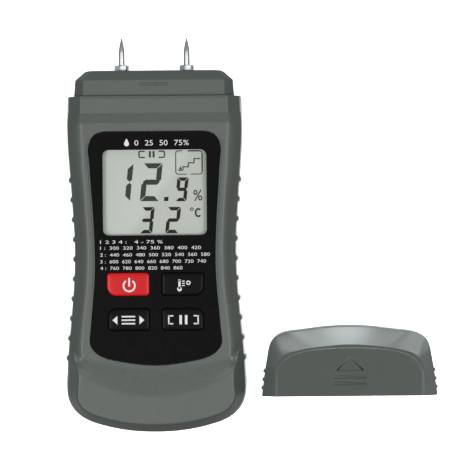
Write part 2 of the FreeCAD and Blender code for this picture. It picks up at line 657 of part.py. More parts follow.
cap = cap.fuse(tri.extrude(V(0, 0, 0.6)))
cap = cap.fuse(box(-6.5, 6.5, 6.3, 7.7, cap_arch_z - 0.3, cap_arch_z + 0.3))
cap = cap.fuse(box(-6.5, 6.5, 4.1, 5.2, cap_arch_z - 0.3, cap_arch_z + 0.3))
cap = cap.cut(box(-60, 60, -10, 0, -5, 50))
# pocket for the nose, then room for the pins
n = cap_clear
pocket = oct_loft([(30.75 + n, 27.1 + n, nose_z0 - 0.1 - n, nose_z1 + 0.1 + n, 4.9, -1.0),
                   (30.65 + n, 27.05 + n, nose_z0 - 0.05 - n, nose_z1 + 0.05 + n, 4.9, 7.2),
                   (28.0, 25.6, 6.0, 26.0, 3.5, 10.2)])
room = loft([poly_wire([(28.0, 7.0, 5.6), (28.0, 7.0, 26.4), (-28.0, 7.0, 26.4), (-28.0, 7.0, 5.6)]),
             poly_wire([(27.0, 19.4, 6.2), (27.0, 19.4, 25.4), (-27.0, 19.4, 25.4), (-27.0, 19.4, 6.2)]),
             poly_wire([(17.0, 24.2, 8.5), (17.0, 24.2, 23.5), (-17.0, 24.2, 23.5), (-17.0, 24.2, 8.5)])])
cap = cap.cut(pocket)
cap = cap.cut(room)
# relief for the snap ridges of the nose
cap = cap.cut(box(-6.0, 6.0, 3.6, 5.5, nose_z1, nose_z1 + 0.95))
cap = cap.cut(box(-6.0, 6.0, 3.6, 5.5, nose_z0 - 0.95, nose_z0))
cap.translate(V(cap_x, cap_y, 0))
export("cap", cap)
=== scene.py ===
import bpy
import bmesh
import json
import math
import numpy as np
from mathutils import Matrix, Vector

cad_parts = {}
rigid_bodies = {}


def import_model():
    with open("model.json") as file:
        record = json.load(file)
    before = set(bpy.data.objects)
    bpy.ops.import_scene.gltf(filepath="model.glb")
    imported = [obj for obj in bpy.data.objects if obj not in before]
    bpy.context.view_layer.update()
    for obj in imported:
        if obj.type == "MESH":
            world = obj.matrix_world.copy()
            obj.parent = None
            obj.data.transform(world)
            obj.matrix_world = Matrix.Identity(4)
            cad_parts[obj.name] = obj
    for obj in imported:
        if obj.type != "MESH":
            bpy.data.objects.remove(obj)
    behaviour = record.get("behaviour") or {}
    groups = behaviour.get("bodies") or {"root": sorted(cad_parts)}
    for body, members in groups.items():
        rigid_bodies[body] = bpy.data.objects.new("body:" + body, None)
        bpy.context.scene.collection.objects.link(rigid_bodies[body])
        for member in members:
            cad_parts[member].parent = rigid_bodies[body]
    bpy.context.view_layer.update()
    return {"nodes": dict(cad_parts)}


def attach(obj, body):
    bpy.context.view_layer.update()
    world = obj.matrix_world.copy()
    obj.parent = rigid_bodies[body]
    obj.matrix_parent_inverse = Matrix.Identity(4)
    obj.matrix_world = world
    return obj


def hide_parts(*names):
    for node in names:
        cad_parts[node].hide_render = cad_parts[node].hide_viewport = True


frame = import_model()
MM = 0.001

# ---------------------------------------------------------------------------
# dimensions, millimetres, in the frame's own axes
# ---------------------------------------------------------------------------
SHOULDER_Y, BOTTOM_Y = 59.5, -69.4
COLLAR_Z, PANEL_Z, BELLY_Z = 32.0, 30.4, 33.2
SPLIT_Z, BEVEL_Z, WALL = 16.0, 24.5, 1.9
SLOPE_Y0, SLOPE_Y1 = 49.0, 53.15
DRAFT = 0.5
CASE_HALF = [(33.4, 59.5), (33.5, 54.5), (33.75, 50.0), (33.75, 45.0), (33.5, 39.0), (33.02, 32.0),
             (32.5, 25.2), (32.0, 17.5), (31.5, 9.8), (31.2, 1.5), (31.3, -5.8), (31.65, -13.3),
             (32.3, -21.0), (33.0, -28.7), (33.75, -36.3), (34.2, -42.5), (34.45, -49.5), (34.3, -55.0),
             (33.4, -57.9), (31.4, -61.0), (27.9, -63.9), (24.1, -65.6), (19.4, -67.05), (11.1, -68.7),
             (0.0, -69.4)]
PANEL_HALF = [(19.0, 46.0), (22.1, 45.2), (23.9, 43.7), (25.0, 41.3), (25.4, 39.0), (25.2, 36.7),
              (24.65, 29.8), (24.05, 20.6), (23.45, 11.3), (23.1, 2.0), (23.05, -7.0), (23.65, -16.3),
              (24.5, -25.6), (25.1, -32.0), (25.2, -34.8), (24.2, -37.2), (21.8, -39.4), (14.0, -41.9),
              (0.0, -43.5)]
RIB_Y0, RIB_PITCH, RIB_N, RIB_R, RIB_OUT = 27.6, -7.58, 10, 1.3, 0.685
KEYS = {"power": (-18.5, -2.3, -16.8, -8.1, (3.6, 1.3, 1.3, 1.3)),
        "unit": (2.4, 18.5, -16.8, -8.1, (1.3, 3.6, 1.3, 1.3)),
        "mode": (-18.1, -2.3, -30.1, -21.7, (1.3, 1.3, 1.3, 3.2)),
        "hold": (2.4, 18.3, -30.1, -21.7, (1.3, 1.3, 3.2, 1.3))}
WIN = (-19.8, 19.8, 6.2, 38.9, 2.3)
CAP_X, CAP_Y = 74.0, -55.8
CAP_HALF = [(33.9, -1.5), (33.75, 1.0), (33.3, 4.2), (32.9, 7.7), (32.4, 11.15), (32.0, 13.5),
            (31.6, 15.8), (31.15, 18.2), (30.5, 20.4), (29.0, 22.5), (26.5, 24.0), (20.0, 25.2),
            (10.0, 26.4), (0.0, 26.9)]
CAP_FRONT = [(28.9, -1.5), (28.8, 1.0), (28.7, 4.2), (28.6, 7.7), (28.3, 10.4), (27.6, 12.6),
             (26.5, 14.4), (25.0, 15.8), (23.0, 16.8), (20.8, 17.4), (17.5, 18.1), (12.0, 18.9),
             (6.0, 19.5), (0.0, 19.8)]
CAP_ARCH = [(28.1, -1.5), (28.05, 1.0), (28.0, 5.0), (27.9, 9.2), (26.6, 12.2), (23.6, 15.0),
            (19.1, 16.8), (13.7, 17.8), (7.0, 18.3), (0.0, 18.5)]
PIN_X, PIN_Z = 12.5, 16.0


# ---------------------------------------------------------------------------
# numeric helpers
# ---------------------------------------------------------------------------
def mirrored(half):
    return list(half) + [(-x, y) for x, y in half[-2::-1]]


class Curve:
    """natural cubic through points, by chord length"""

    def __init__(self, pts):
        self.P = P = np.array(pts, float)
        n = len(P)
        self.h = h = np.linalg.norm(np.diff(P, axis=0), axis=1)
        self.t = np.concatenate([[0.0], np.cumsum(h)])
        A = np.zeros((n, n))
        B = np.zeros((n, 2))
        A[0, 0] = A[-1, -1] = 1.0
        for i in range(1, n - 1):
            A[i, i - 1], A[i, i], A[i, i + 1] = h[i - 1], 2 * (h[i - 1] + h[i]), h[i]
            B[i] = 6 * ((P[i + 1] - P[i]) / h[i] - (P[i] - P[i - 1]) / h[i - 1])
        self.M = np.linalg.solve(A, B)
        self.mid = self.t[(n - 1) // 2]

    def at(self, s):
        """positions and inward normals"""
        t, h, P, M = self.t, self.h, self.P, self.M
        s = np.clip(np.atleast_1d(np.asarray(s, float)), t[0], t[-1])
        k = np.clip(np.searchsorted(t, s, side="right") - 1, 0, len(h) - 1)
        hk = h[k]
        a = (t[k + 1] - s) / hk
        b = (s - t[k]) / hk
        pos = (a[:, None] * P[k] + b[:, None] * P[k + 1]
               + ((a ** 3 - a)[:, None] * M[k] + (b ** 3 - b)[:, None] * M[k + 1]) * (hk ** 2)[:, None] / 6)
        tan = ((P[k + 1] - P[k]) / hk[:, None]
               + (-(3 * a ** 2 - 1)[:, None] * M[k] + (3 * b ** 2 - 1)[:, None] * M[k + 1]) * hk[:, None] / 6)
        tan /= np.linalg.norm(tan, axis=1)[:, None]
        return pos, np.stack([tan[:, 1], -tan[:, 0]], 1)

    def t_of_y(self, y):
        """parameter on the right half where the height is y"""
        s = np.linspace(0, self.mid, 6000)
        p, _ = self.at(s)
        return float(np.interp(-y, -p[:, 1], s)) if np.all(np.diff(p[:, 1]) <= 1e-9) else \
            float(s[np.argmin(np.abs(p[:, 1] - y))])


def smin(a, b, k):
    h = np.clip(0.5 + 0.5 * (b - a) / k, 0.0, 1.0)
    return b * (1 - h) + a * h - k * h * (1 - h)


def smax(a, b, k):
    return -smin(-a, -b, k)


def smooth(a, b, x):
    t = np.clip((x - a) / (b - a), 0.0, 1.0)
    return t * t * (3 - 2 * t)


def monotone(xs, ys, x):
    """piecewise cubic through (xs, ys) that never turns back"""
    xs, ys = np.array(xs, float), np.array(ys, float)
    d = np.diff(ys) / np.diff(xs)
    m = np.zeros(len(xs))
    m[0], m[-1] = d[0], d[-1]
    for i in range(1, len(xs) - 1):
        m[i] = 0.0 if d[i - 1] * d[i] <= 0 else 2.0 / (1.0 / d[i - 1] + 1.0 / d[i])
    x = np.asarray(x, float)
    k = np.clip(np.searchsorted(xs, x, side="right") - 1, 0, len(xs) - 2)
    h = xs[k + 1] - xs[k]
    t = (x - xs[k]) / h
    return ((2 * t ** 3 - 3 * t ** 2 + 1) * ys[k] + (t ** 3 - 2 * t ** 2 + t) * h * m[k]
            + (-2 * t ** 3 + 3 * t ** 2) * ys[k + 1] + (t ** 3 - t ** 2) * h * m[k + 1])


def srgb(r, g, b):
    out = []
    for c in (r, g, b):
        c = c / 255.0
        out.append(c / 12.92 if c <= 0.04045 else ((c + 0.055) / 1.055) ** 2.4)
    return (*out, 1.0)


# ---------------------------------------------------------------------------
# mesh helpers
# ---------------------------------------------------------------------------
def to_object(name, verts, faces, recalc=True):
    me = bpy.data.meshes.new(name)
    me.from_pydata([tuple(v) for v in (np.array(verts, float) * MM).tolist()], [], faces)
    if recalc:
        bm = bmesh.new()
        bm.from_mesh(me)
        bmesh.ops.recalc_face_normals(bm, faces=bm.faces)
        bm.to_mesh(me)
        bm.free()
    ob = bpy.data.objects.new(name, me)
    bpy.context.scene.collection.objects.link(ob)
    return ob


def finish_piece(ob, mat, body, stands_for=(), smooth_angle=35.0):
    me = ob.data
    me.polygons.foreach_set("use_smooth", [True] * len(me.polygons))
    if smooth_angle is not None:
        me.set_sharp_from_angle(angle=math.radians(smooth_angle))
    if ob.get("flat_faces"):
        del ob["flat_faces"]
        me.polygons.foreach_set("use_smooth", [abs(p.normal.z) < 0.999 for p in me.polygons])
    me.materials.clear()
    me.materials.append(mat)
    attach(ob, body)
    if stands_for:
        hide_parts(*stands_for)
    return ob


class Bag:
    """collects vertices and faces of closed bodies"""

    def __init__(self):
        self.v, self.f = [], []

    def add(self, verts, faces):
        o = len(self.v)
        self.v += [tuple(map(float, p)) for p in verts]
        self.f += [tuple(i + o for i in f) for f in faces]

    def loops(self, rings, start=True, end=True, centre0=None, centre1=None):
        """skins equal closed rings; ends closed by one face, or by a fan round a centre"""
        n = len(rings[0])
        verts = [p for r in rings for p in r]
        faces = []
        for k in range(len(rings) - 1):
            a, b = k * n, (k + 1) * n
            for i in range(n):
                j = (i + 1) % n
                faces.append((a + i, a + j, b + j, b + i))
        if centre0 is not None:
            verts.append(centre0)
            c = len(verts) - 1
            faces += [((i + 1) % n, i, c) for i in range(n)]
        elif start:
            faces.append(tuple(range(n - 1, -1, -1)))
        if centre1 is not None:
            verts.append(centre1)
            c = len(verts) - 1
            o = (len(rings) - 1) * n
            faces += [(o + i, o + (i + 1) % n, c) for i in range(n)]
        elif end:
            o = (len(rings) - 1) * n
            faces.append(tuple(o + i for i in range(n)))
        self.add(verts, faces)

    def prism(self, poly, z0, z1):
        n = len(poly)
        verts = [(x, y, z0) for x, y in poly] + [(x, y, z1) for x, y in poly]
        faces = [tuple(range(n - 1, -1, -1)), tuple(range(n, 2 * n))]
        faces += [(i, (i + 1) % n, n + (i + 1) % n, n + i) for i in range(n)]
        self.add(verts, faces)

    def lathe_y(self, x, z, profile, seg=48):
        """profile of (y, r) from end to end, both ends closed on the axis"""
        rings = []
        for y, r in profile:
            rings.append([(x + r * math.cos(2 * math.pi * k / seg), y, z + r * math.sin(2 * math.pi * k / seg))
                          for k in range(seg)])
        self.loops(rings, centre0=(x, profile[0][0], z), centre1=(x, profile[-1][0], z))

    def lathe_z(self, x, y, profile, seg=48):
        rings = []
        for z, r in profile:
            rings.append([(x + r * math.cos(2 * math.pi * k / seg), y + r * math.sin(2 * math.pi * k / seg), z)
                          for k in range(seg)])
        self.loops(rings, centre0=(x, y, profile[0][0]), centre1=(x, y, profile[-1][0]))

    def tube_z(self, x, y, r_out, r_in, z0, z1, seg=40, edge=0.15):
        prof = [(z0, r_in + edge), (z0, r_out - edge), (z0 + edge, r_out), (z1 - edge, r_out), (z1, r_out - edge),
                (z1, r_in + edge), (z1 - edge, r_in), (z0 + edge, r_in)]
        rings = [[(x + r * math.cos(2 * math.pi * k / seg), y + r * math.sin(2 * math.pi * k / seg), z)
                  for k in range(seg)] for z, r in prof]
        n = seg
        verts = [p for r in rings for p in r]
        faces = []
        m = len(rings)
        for a in range(m):
            b = (a + 1) % m
            for i in range(n):
                j = (i + 1) % n
                faces.append((a * n + i, a * n + j, b * n + j, b * n + i))
        self.add(verts, faces)

    def object(self, name, recalc=True):
        return to_object(name, self.v, self.f, recalc)


def round_rect(x0, x1, y0, y1, radii, seg=8):
    bl, br, tr, tl = radii if hasattr(radii, "__len__") else (radii,) * 4
    out = []
    for cx, cy, r, a0 in ((x1 - br, y0 + br, br, -90), (x1 - tr, y1 - tr, tr, 0),
                          (x0 + tl, y1 - tl, tl, 90), (x0 + bl, y0 + bl, bl, 180)):
        for k in range(seg + 1):
            a = math.radians(a0 + 90.0 * k / seg)
            out.append((cx + r * math.cos(a), cy + r * math.sin(a)))
    return out


def key_loop(k, grow, seg=8):
    x0, x1, y0, y1, rad = KEYS[k]
    return round_rect(x0 - grow, x1 + grow, y0 - grow, y1 + grow, tuple(max(r + grow, 0.05) for r in rad), seg)


def arc_band(cx, cy, r0, r1, a0, a1, n=24):
    out = []
    for k in range(n + 1):
        a = math.radians(a0 + (a1 - a0) * k / n)
        out.append((cx + r1 * math.cos(a), cy + r1 * math.sin(a)))
    for k in range(n, -1, -1):
        a = math.radians(a0 + (a1 - a0) * k / n)
        out.append((cx + r0 * math.cos(a), cy + r0 * math.sin(a)))
    return out


def stroke(p, q, w):
    dx, dy = q[0] - p[0], q[1] - p[1]
    l = math.hypot(dx, dy)
    nx, ny = -dy / l * w / 2, dx / l * w / 2
    return [(p[0] + nx, p[1] + ny), (p[0] - nx, p[1] - ny), (q[0] - nx, q[1] - ny), (q[0] + nx, q[1] + ny)]


def plate_with_holes(name, outer, holes, z0, z1, edge=0.06):
    """flat plate cut from one outline, holes going right through, edges softened"""
    cu = bpy.data.curves.new(name + "_outline", "CURVE")
    cu.dimensions = "2D"
    cu.fill_mode = "BOTH"
    for loop in [outer] + list(holes):
        sp = cu.splines.new("POLY")
        sp.points.add(len(loop) - 1)
        for k, (x, y) in enumerate(loop):
            sp.points[k].co = (x * MM, y * MM, 0, 1)
        sp.use_cyclic_u = True
    cu.bevel_depth = edge * MM
    cu.bevel_resolution = 1
    cu.offset = -edge * MM
    cu.extrude = ((z1 - z0) / 2 - edge) * MM
    tmp = bpy.data.objects.new(name + "_tmp", cu)
    bpy.context.scene.collection.objects.link(tmp)
    tmp.location.z = 0
    bpy.context.view_layer.update()
    dg = bpy.context.evaluated_depsgraph_get()
    me = bpy.data.meshes.new_from_object(tmp.evaluated_get(dg))
    bpy.data.objects.remove(tmp)
    bpy.data.curves.remove(cu)
    co = np.zeros(len(me.vertices) * 3, np.float32)
    me.vertices.foreach_get("co", co)
    co = co.reshape(-1, 3)
    co[:, 2] += (z0 + z1) / 2 * MM
    me.vertices.foreach_set("co", co.ravel())
    bm = bmesh.new()
    bm.from_mesh(me)
    bmesh.ops.remove_doubles(bm, verts=bm.verts, dist=0.002 * MM)
    bmesh.ops.recalc_face_normals(bm, faces=bm.faces)
    bm.to_mesh(me)
    bm.free()
    me.name = name
    ob = bpy.data.objects.new(name, me)
    bpy.context.scene.collection.objects.link(ob)
    ob["flat_faces"] = True
    return ob


def apply_modifiers(ob):
    bpy.context.view_layer.update()
    dg = bpy.context.evaluated_depsgraph_get()
    me = bpy.data.meshes.new_from_object(ob.evaluated_get(dg))
    old = ob.data
    ob.modifiers.clear()
    ob.data = me
    bpy.data.meshes.remove(old)
    return ob


def cut(ob, tools, kind="DIFFERENCE"):
    for t in tools:
        m = ob.modifiers.new("op", "BOOLEAN")
        m.operation = kind
        m.solver = "EXACT"
        m.object = t
    apply_modifiers(ob)
    for t in tools:
        me = t.data
        bpy.data.objects.remove(t)
        bpy.data.meshes.remove(me)
    return ob


def box_object(x0, x1, y0, y1, z0, z1):
    b = Bag()
    b.prism([(x0, y0), (x1, y0), (x1, y1), (x0, y1)], z0, z1)
    return b.object("tool")


def cyl_object(x, y, z0, z1, r, seg=48):
    b = Bag()
    b.prism([(x + r * math.cos(2 * math.pi * k / seg), y + r * math.sin(2 * math.pi * k / seg))
             for k in range(seg)], z0, z1)
    return b.object("tool")


def bevel_edges(ob, width, angle=30.0, segments=2):
    m = ob.modifiers.new("edge", "BEVEL")
    m.width = width * MM
    m.segments = segments
    m.limit_method = "ANGLE"
    m.angle_limit = math.radians(angle)
    m.harden_normals = False
    return apply_modifiers(ob)


def text_mesh(name, body_text, x, y, height, width=None, align="LEFT", shear=0.0):
    """flat outline of numbers: x is the left edge or centre, y the base line, cap height in mm"""
    cu = bpy.data.curves.new(name, "FONT")
    cu.body = body_text
    cu.size = 1.0
    cu.align_x = "LEFT"
    cu.shear = shear
    cu.resolution_u = 4
    tmp = bpy.data.objects.new(name + "_tmp", cu)
    bpy.context.scene.collection.objects.link(tmp)
    bpy.context.view_layer.update()
    dg = bpy.context.evaluated_depsgraph_get()
    me = bpy.data.meshes.new_from_object(tmp.evaluated_get(dg))
    bpy.data.objects.remove(tmp)
    bpy.data.curves.remove(cu)
    co = np.zeros(len(me.vertices) * 3, np.float32)
    me.vertices.foreach_get("co", co)
    co = co.reshape(-1, 3).astype(float)
    faces = [tuple(p.vertices) for p in me.polygons]
    bpy.data.meshes.remove(me)
    lo, hi = co.min(0), co.max(0)
    k = height / 0.729       # cap height of the built-in face at size 1
    kx = k if width is None else width / (hi[0] - lo[0])
    px = (co[:, 0] - lo[0]) * kx
    if align == "CENTER":
        px -= (hi[0] - lo[0]) * kx / 2
    pts = np.stack([px + x, co[:, 1] * k + y], 1)
    return pts, faces


def add_flat(bag, pts, faces, z0, z1):
    """gives a flat outline mesh its thickness"""
    n = len(pts)
    edges = {}
    for f in faces:
        for a, b in zip(f, f[1:] + f[:1]):
            edges[(a, b)] = edges.get((a, b), 0) + 1
    border = [(a, b) for (a, b) in edges if (b, a) not in edges]
    verts = [(x, y, z1) for x, y in pts] + [(x, y, z0) for x, y in pts]
    out = [tuple(f) for f in faces] + [tuple(i + n for i in reversed(f)) for f in faces]
    out += [(b, a, a + n, b + n) for a, b in border]
    bag.add(verts, out)


# ---------------------------------------------------------------------------
# materials
# ---------------------------------------------------------------------------
def new_mat(name):
    m = bpy.data.materials.new(name)
    m.use_nodes = True
    nt = m.node_tree
    b = nt.nodes["Principled BSDF"]
    co = nt.nodes.new("ShaderNodeTexCoord")
    return m, nt, b, co


def noise(nt, co, scale, detail=2.0, rough=0.5, stretch=None):
    n = nt.nodes.new("ShaderNodeTexNoise")
    n.inputs["Scale"].default_value = scale
    n.inputs["Detail"].default_value = detail
    n.inputs["Roughness"].default_value = rough
    src = co.outputs["Object"]
    if stretch:
        mp = nt.nodes.new("ShaderNodeMapping")
        mp.inputs["Scale"].default_value = stretch
        nt.links.new(src, mp.inputs["Vector"])
        src = mp.outputs["Vector"]
    nt.links.new(src, n.inputs["Vector"])
    return n.outputs["Fac"]


def ramp(nt, fac, stops):
    r = nt.nodes.new("ShaderNodeValToRGB")
    r.color_ramp.elements[0].position = stops[0][0]
    r.color_ramp.elements[0].color = stops[0][1]
    r.color_ramp.elements[1].position = stops[-1][0]
    r.color_ramp.elements[1].color = stops[-1][1]
    for p, c in stops[1:-1]:
        e = r.color_ramp.elements.new(p)
        e.color = c
    nt.links.new(fac, r.inputs["Fac"])
    return r.outputs["Color"]


def remap(nt, fac, a, b, c, d):
    m = nt.nodes.new("ShaderNodeMapRange")
    m.inputs["From Min"].default_value, m.inputs["From Max"].default_value = a, b
    m.inputs["To Min"].default_value, m.inputs["To Max"].default_value = c, d
    nt.links.new(fac, m.inputs["Value"])
    return m.outputs["Result"]


def bump(nt, fac, distance_mm, strength=1.0, normal=None):
    b = nt.nodes.new("ShaderNodeBump")
    b.inputs["Distance"].default_value = distance_mm * MM
    b.inputs["Strength"].default_value = strength
    nt.links.new(fac, b.inputs["Height"])
    if normal is not None:
        nt.links.new(normal, b.inputs["Normal"])
    return b.outputs["Normal"]


def scaled(c, k):
    return (min(c[0] * k, 1.0), min(c[1] * k, 1.0), min(c[2] * k, 1.0), 1.0)


def moulded(name, col, rough=0.45, spec=0.5, grain=2600.0, grain_mm=0.012, mottle=0.10, coat=0.0,
            coat_rough=0.2, vary=0.05, fine=0.06):
    """moulded plastic or rubber: fine spark-eroded grain, slow tone drift, uneven gloss"""
    m, nt, b, co = new_mat(name)
    slow = noise(nt, co, 90.0, 3.0, 0.55)
    mid = noise(nt, co, 1500.0, 2.0, 0.6)
    a = ramp(nt, slow, [(0.25, scaled(col, 1 - mottle)), (0.75, scaled(col, 1 + mottle))])
    mix = nt.nodes.new("ShaderNodeMix")
    mix.data_type = "RGBA"
    mix.blend_type = "MULTIPLY"
    mix.inputs["Factor"].default_value = 1.0
    tone = ramp(nt, mid, [(0.3, (1 - fine, 1 - fine, 1 - fine, 1)), (0.7, (1 + fine, 1 + fine, 1 + fine, 1))])
    nt.links.new(a, mix.inputs["A"])
    nt.links.new(tone, mix.inputs["B"])
    nt.links.new(mix.outputs["Result"], b.inputs["Base Color"])
    r = remap(nt, mid, 0.3, 0.7, rough - vary, rough + vary)
    nt.links.new(r, b.inputs["Roughness"])
    g = noise(nt, co, grain, 2.0, 0.6)
    nrm = bump(nt, g, grain_mm)
    nt.links.new(nrm, b.inputs["Normal"])
    b.inputs["Specular IOR Level"].default_value = spec
    b.inputs["Coat Weight"].default_value = coat
    b.inputs["Coat Roughness"].default_value = coat_rough
    return m


def metal(name, col, rough=0.25, along="y", brushed=0.006, tint=0.08):
    """turned or rolled metal with fine tool lines"""
    m, nt, b, co = new_mat(name)
    st = {"y": (1, 18, 1), "z": (1, 1, 18), "x": (18, 1, 1)}[along]
    lines = noise(nt, co, 900.0, 3.0, 0.6, stretch=st)
    slow = noise(nt, co, 260.0, 2.0, 0.5)
    c = ramp(nt, slow, [(0.3, scaled(col, 1 - tint)), (0.7, scaled(col, 1 + tint))])
    nt.links.new(c, b.inputs["Base Color"])
    r = remap(nt, lines, 0.3, 0.7, rough - 0.06, rough + 0.08)
    nt.links.new(r, b.inputs["Roughness"])
    nt.links.new(bump(nt, lines, brushed), b.inputs["Normal"])
    b.inputs["Metallic"].default_value = 1.0
    return m


CASE = srgb(76, 82, 78)
CAPC = srgb(64, 68, 65)
M = {}
M["case"] = moulded("case_grey_plastic", CASE, rough=0.43, spec=0.38, grain=3000.0, grain_mm=0.010, mottle=0.03,
                    fine=0.07)
M["cap"] = moulded("cap_grey_plastic", CAPC, rough=0.24, spec=0.36, grain=3000.0, grain_mm=0.002, mottle=0.03,
                   fine=0.02, vary=0.015)
M["key_red"] = moulded("red_key_rubber", srgb(188, 21, 24), rough=0.34, spec=0.22, grain=2400.0, grain_mm=0.006,
                       mottle=0.05, fine=0.03)
M["key_black"] = moulded("black_key_rubber", srgb(10, 10, 11), rough=0.36, spec=0.07, grain=2400.0, grain_mm=0.008,
                         mottle=0.06, fine=0.08)
M["panel"] = moulded("black_face_film", srgb(9, 9, 10), rough=0.18, spec=0.15, grain=900.0, grain_mm=0.003,
                     mottle=0.05, fine=0.03)
M["print_white"] = moulded("white_print_ink", srgb(206, 206, 208), rough=0.55, spec=0.3, grain=3500.0,
                           grain_mm=0.004, mottle=0.02, fine=0.03)
M["segment"] = moulded("dark_segment", srgb(26, 29, 27), rough=0.45, spec=0.05, grain=2000.0, grain_mm=0.002,
                       mottle=0.10, fine=0.04)
M["segment_grey"] = moulded("grey_segment", srgb(52, 57, 51), rough=0.45, spec=0.05, grain=2000.0, grain_mm=0.002,
                            mottle=0.06, fine=0.04)
M["frame_white"] = moulded("white_frame_plastic", srgb(214, 216, 212), rough=0.5, grain=2500.0, grain_mm=0.006,
                           mottle=0.02, fine=0.02)
M["silicone"] = moulded("translucent_grey_silicone", srgb(176, 178, 174), rough=0.55, grain=1800.0, grain_mm=0.008,
                        mottle=0.05, fine=0.04)
M["carbon"] = moulded("carbon_pill", srgb(34, 34, 36), rough=0.6, grain=3200.0, grain_mm=0.010, mottle=0.1)
M["chip"] = moulded("black_component_epoxy", srgb(30, 30, 32), rough=0.5, grain=3000.0, grain_mm=0.010, mottle=0.08)
M["wire_red"] = moulded("red_wire_sleeve", srgb(176, 28, 26), rough=0.4, grain=1500.0, grain_mm=0.004, mottle=0.05)
M["wire_black"] = moulded("black_wire_sleeve", srgb(26, 26, 27), rough=0.42, grain=1500.0, grain_mm=0.004,
                          mottle=0.05)
M["foam"] = moulded("grey_foam", srgb(70, 70, 72), rough=0.95, spec=0.1, grain=1400.0, grain_mm=0.25, mottle=0.2,
                    fine=0.2)
M["steel"] = metal("bright_pin_steel", srgb(176, 180, 180), rough=0.30)
M["nickel"] = metal("dull_nickel_plate", srgb(150, 156, 156), rough=0.34, brushed=0.004)
M["screw"] = metal("zinc_screw_steel", srgb(178, 180, 178), rough=0.32, along="z")
M["brass"] = metal("brass", srgb(206, 172, 98), rough=0.28)
M["tinned"] = metal("tinned_copper", srgb(196, 198, 198), rough=0.35, along="z")


def lcd_material():
    """greenish grey reflector seen through the polariser, with a faint broad sheen painted into its colour across it"""
    m, nt, b, co = new_mat("lcd_reflector")
    sep = nt.nodes.new("ShaderNodeSeparateXYZ")
    nt.links.new(co.outputs["Object"], sep.inputs["Vector"])
    # distance across a slanting line, metres
    ax = nt.nodes.new("ShaderNodeMath"); ax.operation = "MULTIPLY"; ax.inputs[1].default_value = 0.80
    ay = nt.nodes.new("ShaderNodeMath"); ay.operation = "MULTIPLY"; ay.inputs[1].default_value = -0.60
    ad = nt.nodes.new("ShaderNodeMath"); ad.operation = "ADD"
    nt.links.new(sep.outputs["X"], ax.inputs[0])
    nt.links.new(sep.outputs["Y"], ay.inputs[0])
    nt.links.new(ax.outputs[0], ad.inputs[0])
    nt.links.new(ay.outputs[0], ad.inputs[1])
    across = remap(nt, ad.outputs[0], -0.030, 0.010, 0.0, 1.0)
    # painted reflection: a lighter band, then a slightly darker one, slanting across the reflector's colour in place of
    # a sheen of light
    base = ramp(nt, across, [(0.0, srgb(179, 183, 178)), (0.42, srgb(183, 187, 182)), (0.48, srgb(175, 179, 173)),
                             (1.0, srgb(177, 181, 175))])
    n = noise(nt, co, 1900.0, 2.0, 0.6)
    tone = ramp(nt, n, [(0.3, (0.97, 0.97, 0.965, 1)), (0.7, (1.03, 1.03, 1.025, 1))])
    mix = nt.nodes.new("ShaderNodeMix")
    mix.data_type = "RGBA"
    mix.blend_type = "MULTIPLY"
    mix.inputs["Factor"].default_value = 1.0
    nt.links.new(base, mix.inputs["A"])
    nt.links.new(tone, mix.inputs["B"])
    nt.links.new(mix.outputs["Result"], b.inputs["Base Color"])
    nt.links.new(remap(nt, n, 0.3, 0.7, 0.42, 0.5), b.inputs["Roughness"])
    b.inputs["Specular IOR Level"].default_value = 0.2
    return m


def window_material():
    """clear scratch-coated window: nearly all light goes through, a thin gloss stays"""
    m = bpy.data.materials.new("clear_window")
    m.use_nodes = True
    nt = m.node_tree
    nt.nodes.clear()
    out = nt.nodes.new("ShaderNodeOutputMaterial")
    tr = nt.nodes.new("ShaderNodeBsdfTransparent")
    tr.inputs["Color"].default_value = (0.985, 0.99, 0.985, 1)
    gl = nt.nodes.new("ShaderNodeBsdfGlossy")
    gl.inputs["Roughness"].default_value = 0.12
    fr = nt.nodes.new("ShaderNodeFresnel")
    fr.inputs["IOR"].default_value = 1.40
    co = nt.nodes.new("ShaderNodeTexCoord")
    n = noise(nt, co, 300.0, 3.0, 0.6)
    nt.links.new(bump(nt, n, 0.002), gl.inputs["Normal"])
    nt.links.new(ramp(nt, n, [(0.3, (0.92, 0.93, 0.93, 1)), (0.7, (1, 1, 1, 1))]), gl.inputs["Color"])
    geo = nt.nodes.new("ShaderNodeNewGeometry")
    front_only = nt.nodes.new("ShaderNodeMath")
    front_only.operation = "SUBTRACT"
    front_only.inputs[0].default_value = 1.0
    nt.links.new(geo.outputs["Backfacing"], front_only.inputs[1])
    fac = nt.nodes.new("ShaderNodeMath")
    fac.operation = "MULTIPLY"
    nt.links.new(fr.outputs["Fac"], fac.inputs[0])
    nt.links.new(front_only.outputs[0], fac.inputs[1])
    mix = nt.nodes.new("ShaderNodeMixShader")
    nt.links.new(fac.outputs[0], mix.inputs["Fac"])
    nt.links.new(tr.outputs["BSDF"], mix.inputs[1])
    nt.links.new(gl.outputs["BSDF"], mix.inputs[2])
    nt.links.new(mix.outputs["Shader"], out.inputs["Surface"])
    return m


def board_material():
    m, nt, b, co = new_mat("green_solder_mask")
    br = nt.nodes.new("ShaderNodeTexBrick")
    br.inputs["Scale"].default_value = 260.0
    br.inputs["Color1"].default_value = srgb(18, 84, 50)
    br.inputs["Color2"].default_value = srgb(22, 92, 56)
    br.inputs["Mortar"].default_value = srgb(40, 128, 78)
    br.inputs["Mortar Size"].default_value = 0.03
    nt.links.new(co.outputs["Object"], br.inputs["Vector"])
    nt.links.new(br.outputs["Color"], b.inputs["Base Color"])
    nt.links.new(bump(nt, br.outputs["Fac"], 0.02), b.inputs["Normal"])
    n = noise(nt, co, 700.0)
    nt.links.new(remap(nt, n, 0.3, 0.7, 0.28, 0.4), b.inputs["Roughness"])
    return m


